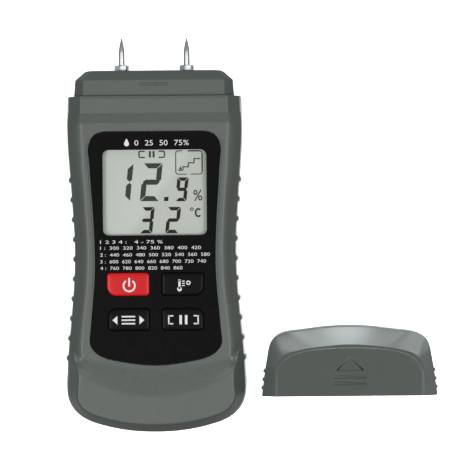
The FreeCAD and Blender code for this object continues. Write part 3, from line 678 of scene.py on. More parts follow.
def battery_material():
    """metal can with a printed dark jacket and one lighter band"""
    m, nt, b, co = new_mat("battery_jacket")
    sep = nt.nodes.new("ShaderNodeSeparateXYZ")
    nt.links.new(co.outputs["Object"], sep.inputs["Vector"])
    band = remap(nt, sep.outputs["Y"], -0.0625, -0.0163, 0.0, 1.0)
    c = ramp(nt, band, [(0.0, srgb(150, 152, 152)), (0.035, srgb(150, 152, 152)), (0.04, srgb(24, 26, 30)),
                        (0.66, srgb(24, 26, 30)), (0.665, srgb(196, 150, 74)), (0.955, srgb(196, 150, 74)),
                        (0.96, srgb(150, 152, 152)), (1.0, srgb(150, 152, 152))])
    n = noise(nt, co, 800.0)
    tone = ramp(nt, n, [(0.3, (0.95, 0.95, 0.95, 1)), (0.7, (1.05, 1.05, 1.05, 1))])
    mix = nt.nodes.new("ShaderNodeMix")
    mix.data_type = "RGBA"
    mix.blend_type = "MULTIPLY"
    mix.inputs["Factor"].default_value = 1.0
    nt.links.new(c, mix.inputs["A"])
    nt.links.new(tone, mix.inputs["B"])
    nt.links.new(mix.outputs["Result"], b.inputs["Base Color"])
    nt.links.new(remap(nt, n, 0.3, 0.7, 0.26, 0.36), b.inputs["Roughness"])
    nt.links.new(bump(nt, n, 0.003), b.inputs["Normal"])
    b.inputs["Metallic"].default_value = 0.35
    return m


M["lcd"] = lcd_material()
M["window"] = window_material()
M["board"] = board_material()
M["battery"] = battery_material()

NODE_MAT = {"front_housing": "case", "rear_housing": "case", "sensor_head": "case", "battery_door": "case",
            "cap": "cap", "battery_pad": "foam", "left_pin": "steel", "right_pin": "steel", "pin_sockets": "brass",
            "key_contact_pads": "brass", "sensor_solder_lugs": "tinned", "left_sensor_wire": "wire_red",
            "right_sensor_wire": "wire_black", "battery_lead_red": "wire_red", "battery_lead_black": "wire_black",
            "battery_snap": "wire_black", "front_overlay": "panel", "display_lens": "window", "lcd_glass": "lcd",
            "lcd_frame": "frame_white", "zebra_strips": "silicone", "keypad_mat": "silicone", "main_board": "board",
            "microcontroller": "chip", "board_components": "chip", "thermistor": "chip", "battery": "battery",
            "case_screws": "screw", "board_screws": "screw", "power_button": "key_red"}
for node, ob in frame["nodes"].items():
    key = NODE_MAT.get(node)
    if key is None:
        key = "silicone" if node.endswith("_dome") else "carbon" if node.endswith("_pill") else "key_black"
    if len(ob.data.materials):
        ob.data.materials[0] = M[key]
    else:
        ob.data.materials.append(M[key])


# moulded edges are never knife sharp: a modifier softens the carried-over back parts
for node, width in (("rear_housing", 0.35), ("battery_door", 0.30)):
    ob = frame["nodes"][node]
    bv = ob.modifiers.new("soft_edges", "BEVEL")
    bv.width = width * MM
    bv.segments = 2
    bv.limit_method = "ANGLE"
    bv.angle_limit = math.radians(28.0)
    bv.harden_normals = False
    bv.miter_outer = "MITER_ARC"

# ---------------------------------------------------------------------------
# case outline, used by the front shell
# ---------------------------------------------------------------------------
case = Curve(mirrored(CASE_HALF))
panel = Curve(mirrored(PANEL_HALF))


def u_in(x):
    return -44.6 + 3.9 * (np.abs(x) / 29.0) ** 2.2


def u_out(x):
    return -55.2 + 9.2 * (np.abs(x) / 29.0) ** 2.2


EDGE_Y = 46.35          # the panel bay's upper edge, with its rounding
ys = [59.5, 59.46, 59.4, 59.32, 59.24, 59.15, 59.06, 58.98, 58.9, 58.82, 58.74, 58.66, 58.58, 58.5, 58.35, 58.0, 57.2, 56.4, 55.6, 54.9, 54.3]
ys += list(np.arange(53.9, 52.35, -0.12))
ys += [52.0, 51.6, 51.2, 50.8, 50.4, 50.0]
ys += list(np.arange(49.7, 48.3, -0.12))
ys += [48.1, 47.7, 47.3, 46.9, 46.6, EDGE_Y]
sd = np.linspace(0, case.mid, 12000)
pd, _ = case.at(sd)
t_part1 = [float(np.interp(-y, -pd[:, 1], sd)) for y in ys]
t_rib0 = float(np.interp(-30.0, -pd[:, 1], sd))
t_rib1 = float(np.interp(44.0, -pd[:, 1], sd))
n_a = int((t_rib0 - t_part1[-1]) / 0.55)
n_b = int((t_rib1 - t_rib0) / 0.30)
n_c = int((case.mid - t_rib1) / 0.50)
t_part2 = list(np.linspace(t_part1[-1], t_rib0, n_a + 1)[1:]) + list(np.linspace(t_rib0, t_rib1, n_b + 1)[1:]) \
    + list(np.linspace(t_rib1, case.mid, n_c + 1)[1:])
T_HALF = np.array(t_part1 + t_part2)
N1 = len(t_part1)
P_HALF, N_HALF = case.at(T_HALF)
flat_n = smooth(45.0, 47.5, P_HALF[:, 1])[:, None]
N_HALF = N_HALF * (1 - flat_n) + np.array([-1.0, 0.0]) * flat_n
N_HALF[-1] = (0.0, 1.0)
P_HALF[-1, 0] = 0.0
P_HALF[0] = (33.4, 59.5)
for i, y in enumerate(ys):
    P_HALF[i, 1] = y
rib_t = [float(np.interp(-(RIB_Y0 + RIB_PITCH * i), -pd[:, 1], sd)) for i in range(RIB_N)]
RIB_HALF = np.zeros(len(T_HALF))
for t in rib_t:
    s = np.abs(T_HALF - t)
    RIB_HALF = np.maximum(RIB_HALF, np.sqrt(np.maximum(RIB_R ** 2 - s ** 2, 0)) - (RIB_R - RIB_OUT))
RIB_HALF = np.where(RIB_HALF > 0, RIB_HALF, 0.0)
END_R = 0.35
e = SHOULDER_Y - P_HALF[:, 1]
END_HALF = np.where(e < END_R, END_R - np.sqrt(np.maximum(END_R ** 2 - (END_R - e) ** 2, 0)), 0.0)
STEP_HALF = 0.16 * smooth(53.02, 53.2, P_HALF[:, 1])
LINE_HALF = 0.13 * np.exp(-((P_HALF[:, 1] - 58.78) / 0.15) ** 2)


def rib_env(z, z0=6.5, z1=24.15, r=1.3):
    z = np.asarray(z, float)
    up = np.clip((z - (z1 - r)) / r, 0, 1)
    dn = np.clip(((z0 + r) - z) / r, 0, 1)
    return np.sqrt(np.maximum(1 - up ** 2, 0)) * np.sqrt(np.maximum(1 - dn ** 2, 0))


# ---------------------------------------------------------------------------
# front shell
# ---------------------------------------------------------------------------
def front_shell():
    nr = len(T_HALF)
    Y = P_HALF[:, 1]
    # bevel width and softness along the outline
    low = smooth(-50.0, -66.0, Y)
    slope = 1.5625
    slope_b = np.interp(-Y, [36.5, 39.5, 43.0, 46.0, 50.0], [1.5625, 2.0, 2.1, 2.1, 2.02]) * (1 - low) + 3.2 * low
    soft = np.interp(-Y, [-60, -53.4, -48.0, -38.0, -20.0, 25.0, 33.0, 40.0], [0.45, 0.5, 3.6, 3.7, 2.4, 2.3, 2.4, 2.4])
    soft_b = np.interp(-Y, [34.0, 37.0, 39.0, 42.0, 46.0, 50.0, 58.0, 64.0, 70.0], [0.05, 0.3, 0.9, 1.2, 1.2, 1.0, 1.5, 1.9, 1.9])
    fade = smooth(-38.4, -44.8, Y)
    lift_b = 2.5 * (1 - smooth(-34.0, -37.5, Y))
    shift_a = 0.6 * smooth(-34.5, -39.5, Y) + 0.35 * smooth(34.0, 20.0, Y) * (1 - smooth(-12.0, -28.0, Y))
    shelf_w = smooth(-36.4, -38.2, Y) * (1 - smooth(-42.5, -45.0, Y))
    crease_d = np.interp(-Y, [37.0, 38.8, 40.1, 43.0, 46.0, 50.0], [0.5, 1.7, 2.7, 3.9, 4.85, 4.8])
    shelf_d = np.interp(-Y, [36.0, 37.5, 40.0, 43.0, 45.0, 47.0], [1.5, 2.1, 2.8, 3.3, 3.7, 4.2])
    droop_g = 0.16 * smooth(-44.0, -47.0, Y) * (1 - smooth(-47.0, -52.0, Y))
    wall_z = [16.0, 16.1, 16.35, 17.2, 18.6, 20.0, 21.2, 22.2, 22.8, 23.2, 23.5, 23.75, 23.95, 24.1]
    wall_d = [0.12, 0.04] + [DRAFT * (z - 16.0) / 8.5 for z in wall_z[2:]]
    bev_d = [0.50, 0.56, 0.66, 0.8, 1.0, 1.3] + list(np.arange(1.6, 6.61, 0.22))
    n_in = 40

    def f_height(x, y):
        top = PANEL_Z + (y - SLOPE_Y0) * (COLLAR_Z - PANEL_Z) / (SLOPE_Y1 - SLOPE_Y0)
        ft = smin(smax(PANEL_Z, top, 0.22), COLLAR_Z, 0.18)
        q = (u_in(x) - y) / (u_in(x) - u_out(x))
        fb = smin(smax(PANEL_Z, PANEL_Z + (BELLY_Z - PANEL_Z) * q, 0.35), BELLY_Z, 0.3)
        fb = fb - 0.16 * np.clip((-y - 60.5) / 9.0, 0, 1) ** 2
        return np.where(y > 0, ft, fb)

    def skin_height(x, y, d):
        """outer skin: waist rounding above, then the sharper flank crease that sweeps in from the side"""
        f = f_height(x, y)
        a = smin(BEVEL_Z + (d - 0.5 - shift_a * smooth(0.5, 2.6, d)) * slope, f, soft)
        over = np.clip((6.4 - d) / (6.4 - crease_d), 0, 1.7)
        s_ = a * (1 - fade) + f * fade - droop_g * over ** 2
        b = BEVEL_Z + (d - 0.5) * slope_b + lift_b
        # narrow shelf behind the crease where it first leaves the flank
        shelf = BEVEL_Z + (shelf_d - 0.5) * slope_b + 0.22 * (d - shelf_d) - (1 - shelf_w) * 6.0 \
            - 0.9 * np.clip(d - shelf_d - 0.9, 0, 30)
        s_ = smax(s_, shelf, 0.25)
        return smin(b, s_, soft_b)

    # inner path: a straight run, then round the panel bay
    ip = np.zeros((nr, 2))
    ip[:N1, 0] = 19.0
    ip[:N1, 1] = Y[:N1]
    ps = panel.t
    sd2 = np.linspace(0, panel.mid, 8000)
    pp2, _ = panel.at(sd2)

    def s_y(y):
        k = (pp2[:, 1] < 45)
        return float(np.interp(-y, -pp2[k, 1], sd2[k]))

    def t_y(y):
        return float(np.interp(-y, -pd[:, 1], sd))

    ct = case.t
    pair_t = [T_HALF[N1 - 1], t_y(44.8), t_y(43.2), t_y(41.3), t_y(38.5), t_y(25.2), t_y(1.5), t_y(-20.0),
              t_y(-33.0), t_y(-43.0), ct[19], ct[21], case.mid]
    pair_s = [0.0, ps[1], ps[2], ps[3], s_y(38.2), s_y(25.2), s_y(1.5), s_y(-19.0), s_y(-29.5),
              s_y(-35.3), ps[16] + 0.15 * (ps[17] - ps[16]), ps[17], panel.mid]
    s_of = monotone(pair_t, pair_s, T_HALF[N1 - 1:])
    pk, pn = panel.at(s_of)
    pk[0] = (19.0, 46.0)
    pk[-1, 0] = 0.0
    pn[-1] = (0.0, 1.0)
    pn[0] = (0.0, -1.0)
    ip[N1 - 1:] = pk - pn * 0.35
    ip[N1 - 1] = (19.0, EDGE_Y)

    def xy_at(d):
        d = np.asarray(d, float)
        q = P_HALF + N_HALF * d[:, None]
        q[:N1, 1] = Y[:N1]
        return q

    def outer_rows():
        rows = []
        for d, z in zip(wall_d, wall_z):
            dd = d + END_HALF + STEP_HALF - RIB_HALF * float(rib_env(z))
            q = xy_at(dd)
            rows.append(np.column_stack([q, np.full(nr, z)]))
        for d in bev_d:
            dd = d + END_HALF + STEP_HALF * (1 - smooth(0.5, 3.0, d))
            q = xy_at(dd)
            z = skin_height(q[:, 0], q[:, 1], np.full(nr, d))
            if d < 0.8:          # corner between wall and bevel
                z = z - 0.10 * (0.8 - d) / 0.3
            z = z - 0.40 * max(0.0, 1.25 - d) ** 2
            rows.append(np.column_stack([q, z - END_HALF - LINE_HALF]))
        start = xy_at(np.full(nr, bev_d[-1]))
        step0 = 0.22
        for k in range(1, n_in + 1):
            w = k / n_in
            length = np.linalg.norm(ip - start, axis=1)
            # first steps as fine as the bevel's, then even
            lin = np.minimum(step0 * k / np.maximum(length, 1e-6), 1.0)
            w = lin * (1 - w) + w * w
            w = np.clip(w, 0, 1)
            if k == n_in:
                w = np.ones(nr)
            q = start * (1 - w[:, None]) + ip * w[:, None]
            q[:N1, 1] = Y[:N1]
            # inset distance measured on from the last bevel row
            dist = bev_d[-1] + np.linalg.norm(q - start, axis=1)
            z = skin_height(q[:, 0], q[:, 1], dist)
            rows.append(np.column_stack([q, z - END_HALF - LINE_HALF]))
        return rows

    R = outer_rows()
    nv = len(R)
    # inner skin on the same rows
    yi = Y.copy()
    yi[:N1] = EDGE_Y + (Y[:N1] - EDGE_Y) * (57.7 - EDGE_Y) / (SHOULDER_Y - EDGE_Y)
    I = []
    nb = len(wall_z) + len(bev_d)
    for k, row in enumerate(R):
        if k < nb:
            d = wall_d[k] if k < len(wall_z) else bev_d[k - len(wall_z)]
            di = WALL + 0.0 * d if k < len(wall_z) else WALL + (d - 0.5) * (bev_d[-1] - WALL) / (bev_d[-1] - 0.5)
            q = P_HALF + N_HALF * di
            if k < len(wall_z):
                z = np.full(nr, wall_z[k]) if k else np.full(nr, 16.0)
                z = np.minimum(z, 23.4)
                z = z - 0.0
                if k:
                    z = np.full(nr, 16.0 + (wall_z[k] - 16.0) * 7.2 / 8.1)
            else:
                zo = row[:, 2] + END_HALF
                plane = 23.3 + (di - WALL) * slope
                z = smin(plane, f_height(q[:, 0], q[:, 1]) - WALL, np.maximum(soft, 0.8))
                z = np.maximum(z, 23.2 + 0.02 * (k - len(wall_z)))
        else:
            q = row[:, :2].copy()
            z = row[:, 2] + END_HALF - WALL
        q = q.copy()
        q[:N1, 1] = yi[:N1]
        I.append(np.column_stack([q, z]))

    verts, faces = [], []

    def put(rows3):
        """grid with the right half then the left half mirrored; returns index array (u, v)"""
        a = np.stack(rows3, 1)                       # nr, nv, 3
        left = a[:-1][::-1].copy()
        left[:, :, 0] *= -1
        full = np.concatenate([a, left], 0)
        o = len(verts)
        verts.extend(full.reshape(-1, 3).tolist())
        return o + np.arange(full.shape[0] * full.shape[1]).reshape(full.shape[0], full.shape[1])

    GO = put(R)
    GI = put(I)
    nu = GO.shape[0]

    def quads(g, flip=False):
        a = g[:-1, :-1].ravel(); b = g[1:, :-1].ravel(); c = g[1:, 1:].ravel(); d = g[:-1, 1:].ravel()
        q = np.stack([a, d, c, b] if flip else [a, b, c, d], 1)
        faces.extend(map(tuple, q.tolist()))

    quads(GO)
    quads(GI, True)
    # field between the two straight runs, above the bay
    NB = 56
    xs = np.linspace(19.0, -19.0, NB + 2)

    def field(G, yrow, inner):
        idx = np.zeros((N1, NB + 2), int)
        for i in range(N1):
            idx[i, 0] = G[i, -1]
            idx[i, -1] = G[nu - 1 - i, -1]
            zr = f_height(xs[1:-1], np.full(NB, Y[i])) - (WALL if inner else END_HALF[i] + LINE_HALF[i])
            o = len(verts)
            for x, z in zip(xs[1:-1], zr):
                verts.append([float(x), float(yrow[i]), float(z)])
            idx[i, 1:-1] = np.arange(o, o + NB)
        return idx

    BO = field(GO, Y, False)
    BI = field(GI, yi, True)
    quads(BO)
    quads(BI, True)
    # edge of the panel bay: a small rounding, then the wall down to its floor
    loop_o = list(GO[N1 - 1:nu - N1 + 1, -1]) + list(BO[-1, 1:-1][::-1])
    loop_i = list(GI[N1 - 1:nu - N1 + 1, -1]) + list(BI[-1, 1:-1][::-1])
    left_pk = pk[:-1][::-1] * np.array([-1, 1])
    left_pn = pn[:-1][::-1] * np.array([-1, 1])
    base = np.concatenate([pk, left_pk, np.column_stack([xs[1:-1][::-1], np.full(NB, 46.0)])])
    nrm = np.concatenate([pn, left_pn, np.tile([0.0, -1.0], (NB, 1))])
    rings = [loop_o]
    zb = np.array([verts[i][2] for i in loop_o])
    for off, dz in ((0.27, 0.006), (0.18, 0.03), (0.10, 0.085), (0.04, 0.16), (0.01, 0.26), (0.0, 0.36)):
        o = len(verts)
        for (x, y), (a, b), z in zip(base, nrm, zb):
            verts.append([float(x - a * off), float(y - b * off), float(z - dz)])
        rings.append(list(range(o, o + len(loop_o))))
    o = len(verts)
    for (x, y) in base:
        verts.append([float(x), float(y), 28.5])
    rings.append(list(range(o, o + len(loop_o))))
    rings.append(loop_i)
    for r0, r1 in zip(rings, rings[1:]):
        n = len(r0)
        for i in range(n):
            j = (i + 1) % n
            faces.append((int(r0[i]), int(r0[j]), int(r1[j]), int(r1[i])))
    # rim on the parting plane
    for i in range(nu - 1):
        faces.append((int(GO[i, 0]), int(GO[i + 1, 0]), int(GI[i + 1, 0]), int(GI[i, 0])))
    # end wall with the neck opening
    eo = list(GO[0, :]) + list(BO[0, 1:-1]) + list(GO[nu - 1, ::-1])
    ei = list(GI[0, :]) + list(BI[0, 1:-1]) + list(GI[nu - 1, ::-1])
    o = len(verts)
    for i in eo:
        x, y, z = verts[i]
        verts.append([x * 0.8, SHOULDER_Y, 16.0 + (z - 16.0) * 0.62])
    n1 = list(range(o, o + len(eo)))
    o = len(verts)
    for i in eo:
        x, y, z = verts[i]
        verts.append([x * 0.8, 57.7, 16.0 + (z - 16.0) * 0.62])
    n2 = list(range(o, o + len(eo)))
    for a, b in ((eo, n1), (n1, n2), (n2, ei)):
        for i in range(len(a) - 1):
            faces.append((int(a[i]), int(a[i + 1]), int(b[i + 1]), int(b[i])))
    faces.append((int(eo[0]), n1[0], n2[0], int(ei[0])))
    faces.append((int(eo[-1]), n1[-1], n2[-1], int(ei[-1])))
    ob = to_object("front_case_shell", verts, faces)
    finish_piece(ob, M["case"], "meter", ["front_housing"], 32.0)
    return ob


front = front_shell()

# floor of the panel bay, one with the front shell
bay = [tuple(p) for p in panel.at(np.linspace(0, panel.t[-1], 220))[0]]
bay = [(x * 1.006, y + (0.15 if y > 45 else 0.0)) for x, y in bay]
holes = [round_rect(-20.2, 20.2, 5.8, 39.3, 2.5)] + [key_loop(k, 0.25) for k in KEYS]
floor_piece = plate_with_holes("front_case_bay_floor", bay, holes, 28.0, 29.6, 0.05)
finish_piece(floor_piece, M["case"], "meter", ["front_housing"])

# printed face film
ov_out = [tuple(p) for p in (lambda q: q[0] + q[1] * 0.12)(panel.at(np.linspace(0, panel.t[-1], 260)))]
ov_out = [(x, min(y, 45.88)) for x, y in ov_out]
film = plate_with_holes("face_film", ov_out, [round_rect(*WIN[:4], WIN[4])] + [key_loop(k, 0.15) for k in KEYS],
                        29.65, 30.38, 0.07)
finish_piece(film, M["panel"], "meter", ["front_overlay"])


# ---------------------------------------------------------------------------
# sensor head: 8-sided block with softened edges
# ---------------------------------------------------------------------------
def soft_polygon(pts, r, seg=3):
    """corners of a closed polygon rounded by r"""
    out = []
    n = len(pts)
    for i in range(n):
        p = np.array(pts[i - 1], float)
        c = np.array(pts[i], float)
        q = np.array(pts[(i + 1) % n], float)
        u, w = p - c, q - c
        lu, lw = np.linalg.norm(u), np.linalg.norm(w)
        u, w = u / lu, w / lw
        a, b = c + u * min(r, lu * 0.4), c + w * min(r, lw * 0.4)
        for k in range(seg + 1):
            t = k / seg
            out.append((1 - t) ** 2 * a + 2 * t * (1 - t) * c + t * t * b)
    return np.array(out)


def soft_path(secs, r, seg=3):
    """section list with each inner corner replaced by a short curve; keeps the ends"""
    S = [np.array(s, float) for s in secs]
    out = [S[0]]
    for i in range(1, len(S) - 1):
        u, w = S[i - 1] - S[i], S[i + 1] - S[i]
        lu = abs(u[-1]) if abs(u[-1]) > 0.3 else np.linalg.norm(u)
        lw = abs(w[-1]) if abs(w[-1]) > 0.3 else np.linalg.norm(w)
        a, b = S[i] + u * min(r / lu, 0.4), S[i] + w * min(r / lw, 0.4)
        for k in range(seg + 1):
            t = k / seg
            out.append((1 - t) ** 2 * a + 2 * t * (1 - t) * S[i] + t * t * b)
    out.append(S[-1])
    return out


def oct2(hw, fw, z0, z1, zb):
    return [(fw, z0), (hw, z0 + zb), (hw, z1 - zb), (fw, z1), (-fw, z1), (-hw, z1 - zb), (-hw, z0 + zb), (-fw, z0)]


def sensor_head():
    secs = [(26.0, 23.0, 6.4, 25.6, 3.0, 56.2), (26.0, 23.0, 6.4, 25.6, 3.0, 59.5),
            (30.7, 27.0, 2.65, 29.35, 4.8, 59.54), (30.2, 26.9, 2.7, 29.3, 4.8, 65.6),
            (29.8, 26.6, 3.0, 29.0, 4.7, 66.1), (26.4, 24.2, 8.0, 24.0, 2.5, 69.1),
            (25.2, 23.6, 8.7, 23.3, 2.3, 69.4)]
    body = secs[:3] + soft_path(secs[2:], 0.22)[1:]
    b = Bag()
    rings = []
    for k, s in enumerate(body):
        poly = soft_polygon(oct2(*s[:5]), 0.32 if k > 1 else 0.2)
        rings.append([(x, s[5], z) for x, z in poly])
    b.loops(rings)
    ob = b.object("sensor_head_block")
    tools = []
    for s in (-1, 1):
        t = Bag()
        t.lathe_y(s * PIN_X, PIN_Z, [(60.0, 1.72), (72.0, 1.72)], 40)
        tools.append(t.object("tool"))
    cut(ob, tools)
    me = ob.data
    # flats stay flat: only the narrow rounded strips are smooth
    finish_piece(ob, M["case"], "meter", ["sensor_head"], 28.0)
    wn = ob.modifiers.new("shade", "WEIGHTED_NORMAL")
    wn.keep_sharp = True
    wn.weight = 80
    # snap ridges, front and back
    r = Bag()
    for sgn, z in ((1, 29.3), (-1, 2.7)):
        prof = [(63.5, 0.0), (63.62, 0.26), (63.8, 0.38), (64.05, 0.4), (64.3, 0.38), (64.48, 0.26), (64.6, 0.0)]
        rings = []
        for x, k in ((-5.4, 0.15), (-5.3, 0.6), (-5.1, 0.9), (-4.8, 1.0), (4.8, 1.0), (5.1, 0.9), (5.3, 0.6), (5.4, 0.15)):
            ring = [(x, y, z + sgn * h * k) for y, h in prof]
            ring += [(x, 64.5, z - sgn * 0.5), (x, 63.6, z - sgn * 0.5)]
            rings.append(ring)
        r.loops(rings)
    finish_piece(r.object("sensor_head_snap_ridges"), M["case"], "meter", ["sensor_head"], 40.0)


sensor_head()


# ---------------------------------------------------------------------------
# pins: turned needle, chamfered hexagon collar, threaded shank in the socket
# ---------------------------------------------------------------------------
def make_pin(name, x, node):
    b = Bag()
    prof = [(71.3, 0.9), (71.5, 1.2), (71.9, 1.2), (74.0, 1.2), (76.6, 1.2), (76.9, 1.19), (77.5, 1.12), (78.3, 1.0),
            (79.2, 0.85), (80.0, 0.71), (80.8, 0.50), (81.6, 0.28), (82.2, 0.12), (82.45, 0.05), (82.5, 0.02)]
    b.lathe_y(x, PIN_Z, prof, 48)
    # thread
    th = [(61.6, 1.0)]
    y = 61.8
    while y < 69.3:
        th += [(y, 1.30), (y + 0.18, 1.5), (y + 0.26, 1.5), (y + 0.44, 1.30)]
        y += 0.5
    th += [(69.6, 1.3)]
    b.lathe_y(x, PIN_Z, th, 32)
    # hexagon with both rims chamfered round
    rc = 5.0 / math.sqrt(3)
    seg = 12
    rings = []
    for y, cut_r in ((69.5, rc - 0.35), (69.62, rc - 0.12), (69.75, rc + 0.2), (71.2, rc + 0.2), (71.38, rc - 0.12),
                     (71.5, rc - 0.35), (71.58, rc - 0.60)):
        ring = []
        for k in range(6 * seg):
            a = 2 * math.pi * k / (6 * seg)
            m = (a % (math.pi / 3)) - math.pi / 6
            hexr = 2.5 / math.cos(m)
            rr = min(hexr, cut_r)
            # small softening of the six corners
            rr = min(rr, rc - 0.06)
            t = a + math.radians(-13.0)
            ring.append((x + rr * math.cos(t), y, PIN_Z + rr * math.sin(t)))
        rings.append(ring)
    finish_piece(b.object(name), M["steel"], "meter", [node], 24.0)
    h = Bag()
    h.loops(rings, centre0=(x, 69.5, PIN_Z), centre1=(x, 71.6, PIN_Z))
    finish_piece(h.object(name + "_hexagon"), M["nickel"], "meter", [node], 24.0)


make_pin("left_needle", -PIN_X, "left_pin")
make_pin("right_needle", PIN_X, "right_pin")


# ---------------------------------------------------------------------------
# keys
# ---------------------------------------------------------------------------
def make_key(k, mat):
    b = Bag()
    x0, x1, y0, y1, rad = KEYS[k]
    cx, cy = (x0 + x1) / 2, (y0 + y1) / 2
    prof = [(0.85, 26.95), (1.0, 27.1), (1.0, 27.8), (0.85, 27.95), (0.1, 27.95), (0.0, 28.1), (0.0, 30.55),
            (-0.03, 30.72), (-0.11, 30.88), (-0.24, 31.02), (-0.42, 31.12), (-0.70, 31.19), (-1.2, 31.24),
            (-2.0, 31.27), (-3.0, 31.29)]
    rings = []
    for g, z in prof:
        rings.append([(x, y, z) for x, y in key_loop(k, g, 10)])
    # the last ring is shrunk to a small one so that the crown closes evenly
    last = rings[-1]
    rings.append([(cx + (x - cx) * 0.35, cy + (y - cy) * 0.35, 31.30) for x, y, z in last])
    b.loops(rings, centre0=(cx, cy, 26.95), centre1=(cx, cy, 31.30))
    ob = b.object(k + "_key_cap")
    finish_piece(ob, mat, k + "_key", [k + "_button"], 50.0)


for k in KEYS:
    make_key(k, M["key_red"] if k == "power" else M["key_black"])


# ---------------------------------------------------------------------------
# protective cap
# ---------------------------------------------------------------------------
def make_cap():
    c0, cf, ca = Curve(mirrored(CAP_HALF)), Curve(mirrored(CAP_FRONT)), Curve(mirrored(CAP_ARCH))
    # shared index parameter, finer over the ribs
    h_of = np.interp
    q = []
    sq = np.linspace(0.0, 13.0, 8000)

    def at(c, idx):
        return c.at(np.interp(idx, np.arange(len(c.t)), c.t))

    pos0, _ = at(c0, sq)
    q_start = float(np.interp(0.0, pos0[:, 1][sq < 3], sq[sq < 3]))
    q_rib = float(np.interp(11.2, pos0[:, 1][sq < 8], sq[sq < 8]))
    # even steps in length along the outline
    def steps(qa, qb, ds):
        s = np.linspace(qa, qb, 4000)
        p, _ = at(c0, s)
        l = np.concatenate([[0], np.cumsum(np.linalg.norm(np.diff(p, axis=0), axis=1))])
        n = max(2, int(l[-1] / ds))
        return list(np.interp(np.linspace(0, l[-1], n + 1), l, s))
    Q = steps(q_start, q_rib, 0.14) + steps(q_rib, 13.0, 0.42)[1:]
    Q = np.array(Q)
    nr = len(Q)
    P0, N0 = at(c0, Q)
    PF, NF = at(cf, Q)
    qa = np.interp(Q, [0, 1, 2, 3, 4, 5, 6, 7, 8, 9, 10, 11, 12, 13],
                   [0, 1, 1.8, 2.65, 3.2, 3.7, 4.1, 4.55, 5.0, 5.5, 6.1, 7.2, 8.15, 9.0])
    qa = monotone([0, 1, 2, 3, 4, 5, 6, 7, 8, 9, 10, 11, 12, 13],
                  [0, 1, 1.8, 2.65, 3.2, 3.7, 4.1, 4.55, 5.0, 5.5, 6.1, 7.2, 8.15, 9.0], Q)
    PA, NA = at(ca, qa)
    N0, NF, NA = -N0, -NF, -NA
    for P, N in ((P0, N0), (PF, NF), (PA, NA)):
        P[0, 1] = 0.0
        N[0] = (-1.0, 0.0)
        P[-1, 0] = 0.0
        N[-1] = (0.0, -1.0)
    rib = np.zeros(nr)
    for h in (9.8, 6.5, 3.3):
        s = np.abs(P0[:, 1] - h)
        rib = np.maximum(rib, np.sqrt(np.maximum(0.75 ** 2 - s ** 2, 0)) - 0.15)
    rib = np.maximum(rib, 0)
    H = P0[:, 1]
    er = 0.3
    end = np.where(H < er, er - np.sqrt(np.maximum(er ** 2 - (er - H) ** 2, 0)), 0.0)

    def row(P, N, d, z, r=0.0):
        p = P + N * (d + end * (1.0 if z < 31 else 0.4) - rib * r)[:, None]
        p[0, 1] = 0.0
        zz = np.full(nr, z, float)
        if z > 31.4:
            zz = zz - end
        if z < 0.3:
            zz = zz + end
        return np.column_stack([p, zz])

    rows = []
    zero = np.zeros(nr)
    for d, z in ((5.2, 0.0), (4.2, 0.0), (3.95, 0.02), (3.7, 0.08), (3.4, 0.32)):
        rows.append(row(P0, N0, zero + d, z))
    for z in np.linspace(0.9, 5.2, 8):
        rows.append(row(P0, N0, zero + 3.6 * (1 - z / 6.0), z))
    for d, z in ((0.36, 5.5), (0.22, 5.8), (0.1, 6.15), (0.03, 6.6)):
        rows.append(row(P0, N0, zero + d, z))
    for z in (6.9, 7.2, 7.6, 8.2, 10.0, 13.0, 16.0, 19.0, 21.5, 22.2, 22.8, 23.2, 23.5, 23.8, 24.05):
        rows.append(row(P0, N0, zero + 0.02 + 0.16 * max(0, z - 8) / 16.0, z, float(rib_env(z, 6.6, 24.0, 1.0))))
    ts = [0.0, 0.02, 0.045, 0.075, 0.12, 0.18, 0.25, 0.33, 0.42, 0.51, 0.60, 0.69, 0.78, 0.86, 0.92, 0.96, 0.985, 1.0]
    for t in ts:
        p0 = P0 + N0 * 0.2
        p = p0 * (1 - t) + PF * t
        n = N0 * (1 - t) + NF * t
        n /= np.linalg.norm(n, axis=1)[:, None]
        # slight crown across the bevel, corners eased at both ends
        z = 24.35 + 7.15 * t + 0.28 * math.sin(math.pi * t)
        if t < 0.05:
            z -= 0.10 * (0.05 - t) / 0.05
        rows.append(row(p, n, zero, z))
    dl = np.linalg.norm(PF - PA, axis=1)
    for w in (0.12, 0.35, 0.65):
        p = PF * (1 - w) + (PA - NA * 0.30) * w
        rows.append(row(p, NF, zero, 31.5))
    upright = NA[:, 1] ** 2
    for off, z, zs in ((-0.30, 31.50, 31.50), (-0.14, 31.50, 31.50), (-0.10, 31.52, 31.52), (0.06, 31.82, 31.90),
                       (0.12, 31.86, 31.95), (0.3, 31.885, 31.966), (0.7, 31.93, 31.984), (1.2, 31.965, 31.993),
                       (1.8, 31.99, 31.996), (2.4, 32.0, 32.0)):
        r_ = row(PA, NA, zero + off, z)
        r_[:, 2] += (zs - z) * (1 - upright)
        rows.append(r_)
    # face inside the arch
    base = PA + NA * 2.4
    for w in np.linspace(0.06, 0.94, 22):
        p = base * (1 - w) + np.array([[0.0, 0.0]]) * w
        p[0, 1] = 0.0
        # a very slight hollow gives the broad face some life
        rows.append(np.column_stack([p, np.full(nr, 32.0) - end * (1 - w)]))
    nv = len(rows)
    a = np.stack(rows, 1)
    left = a[:-1][::-1].copy()
    left[:, :, 0] *= -1
    full = np.concatenate([a, left], 0)
    nu = full.shape[0]
    verts = full.reshape(-1, 3).tolist()
    G = np.arange(nu * nv).reshape(nu, nv)
    faces = []
    A = G[:-1, :-1].ravel(); B = G[1:, :-1].ravel(); C = G[1:, 1:].ravel(); D = G[:-1, 1:].ravel()
    faces += list(map(tuple, np.stack([A, B, C, D], 1).tolist()))
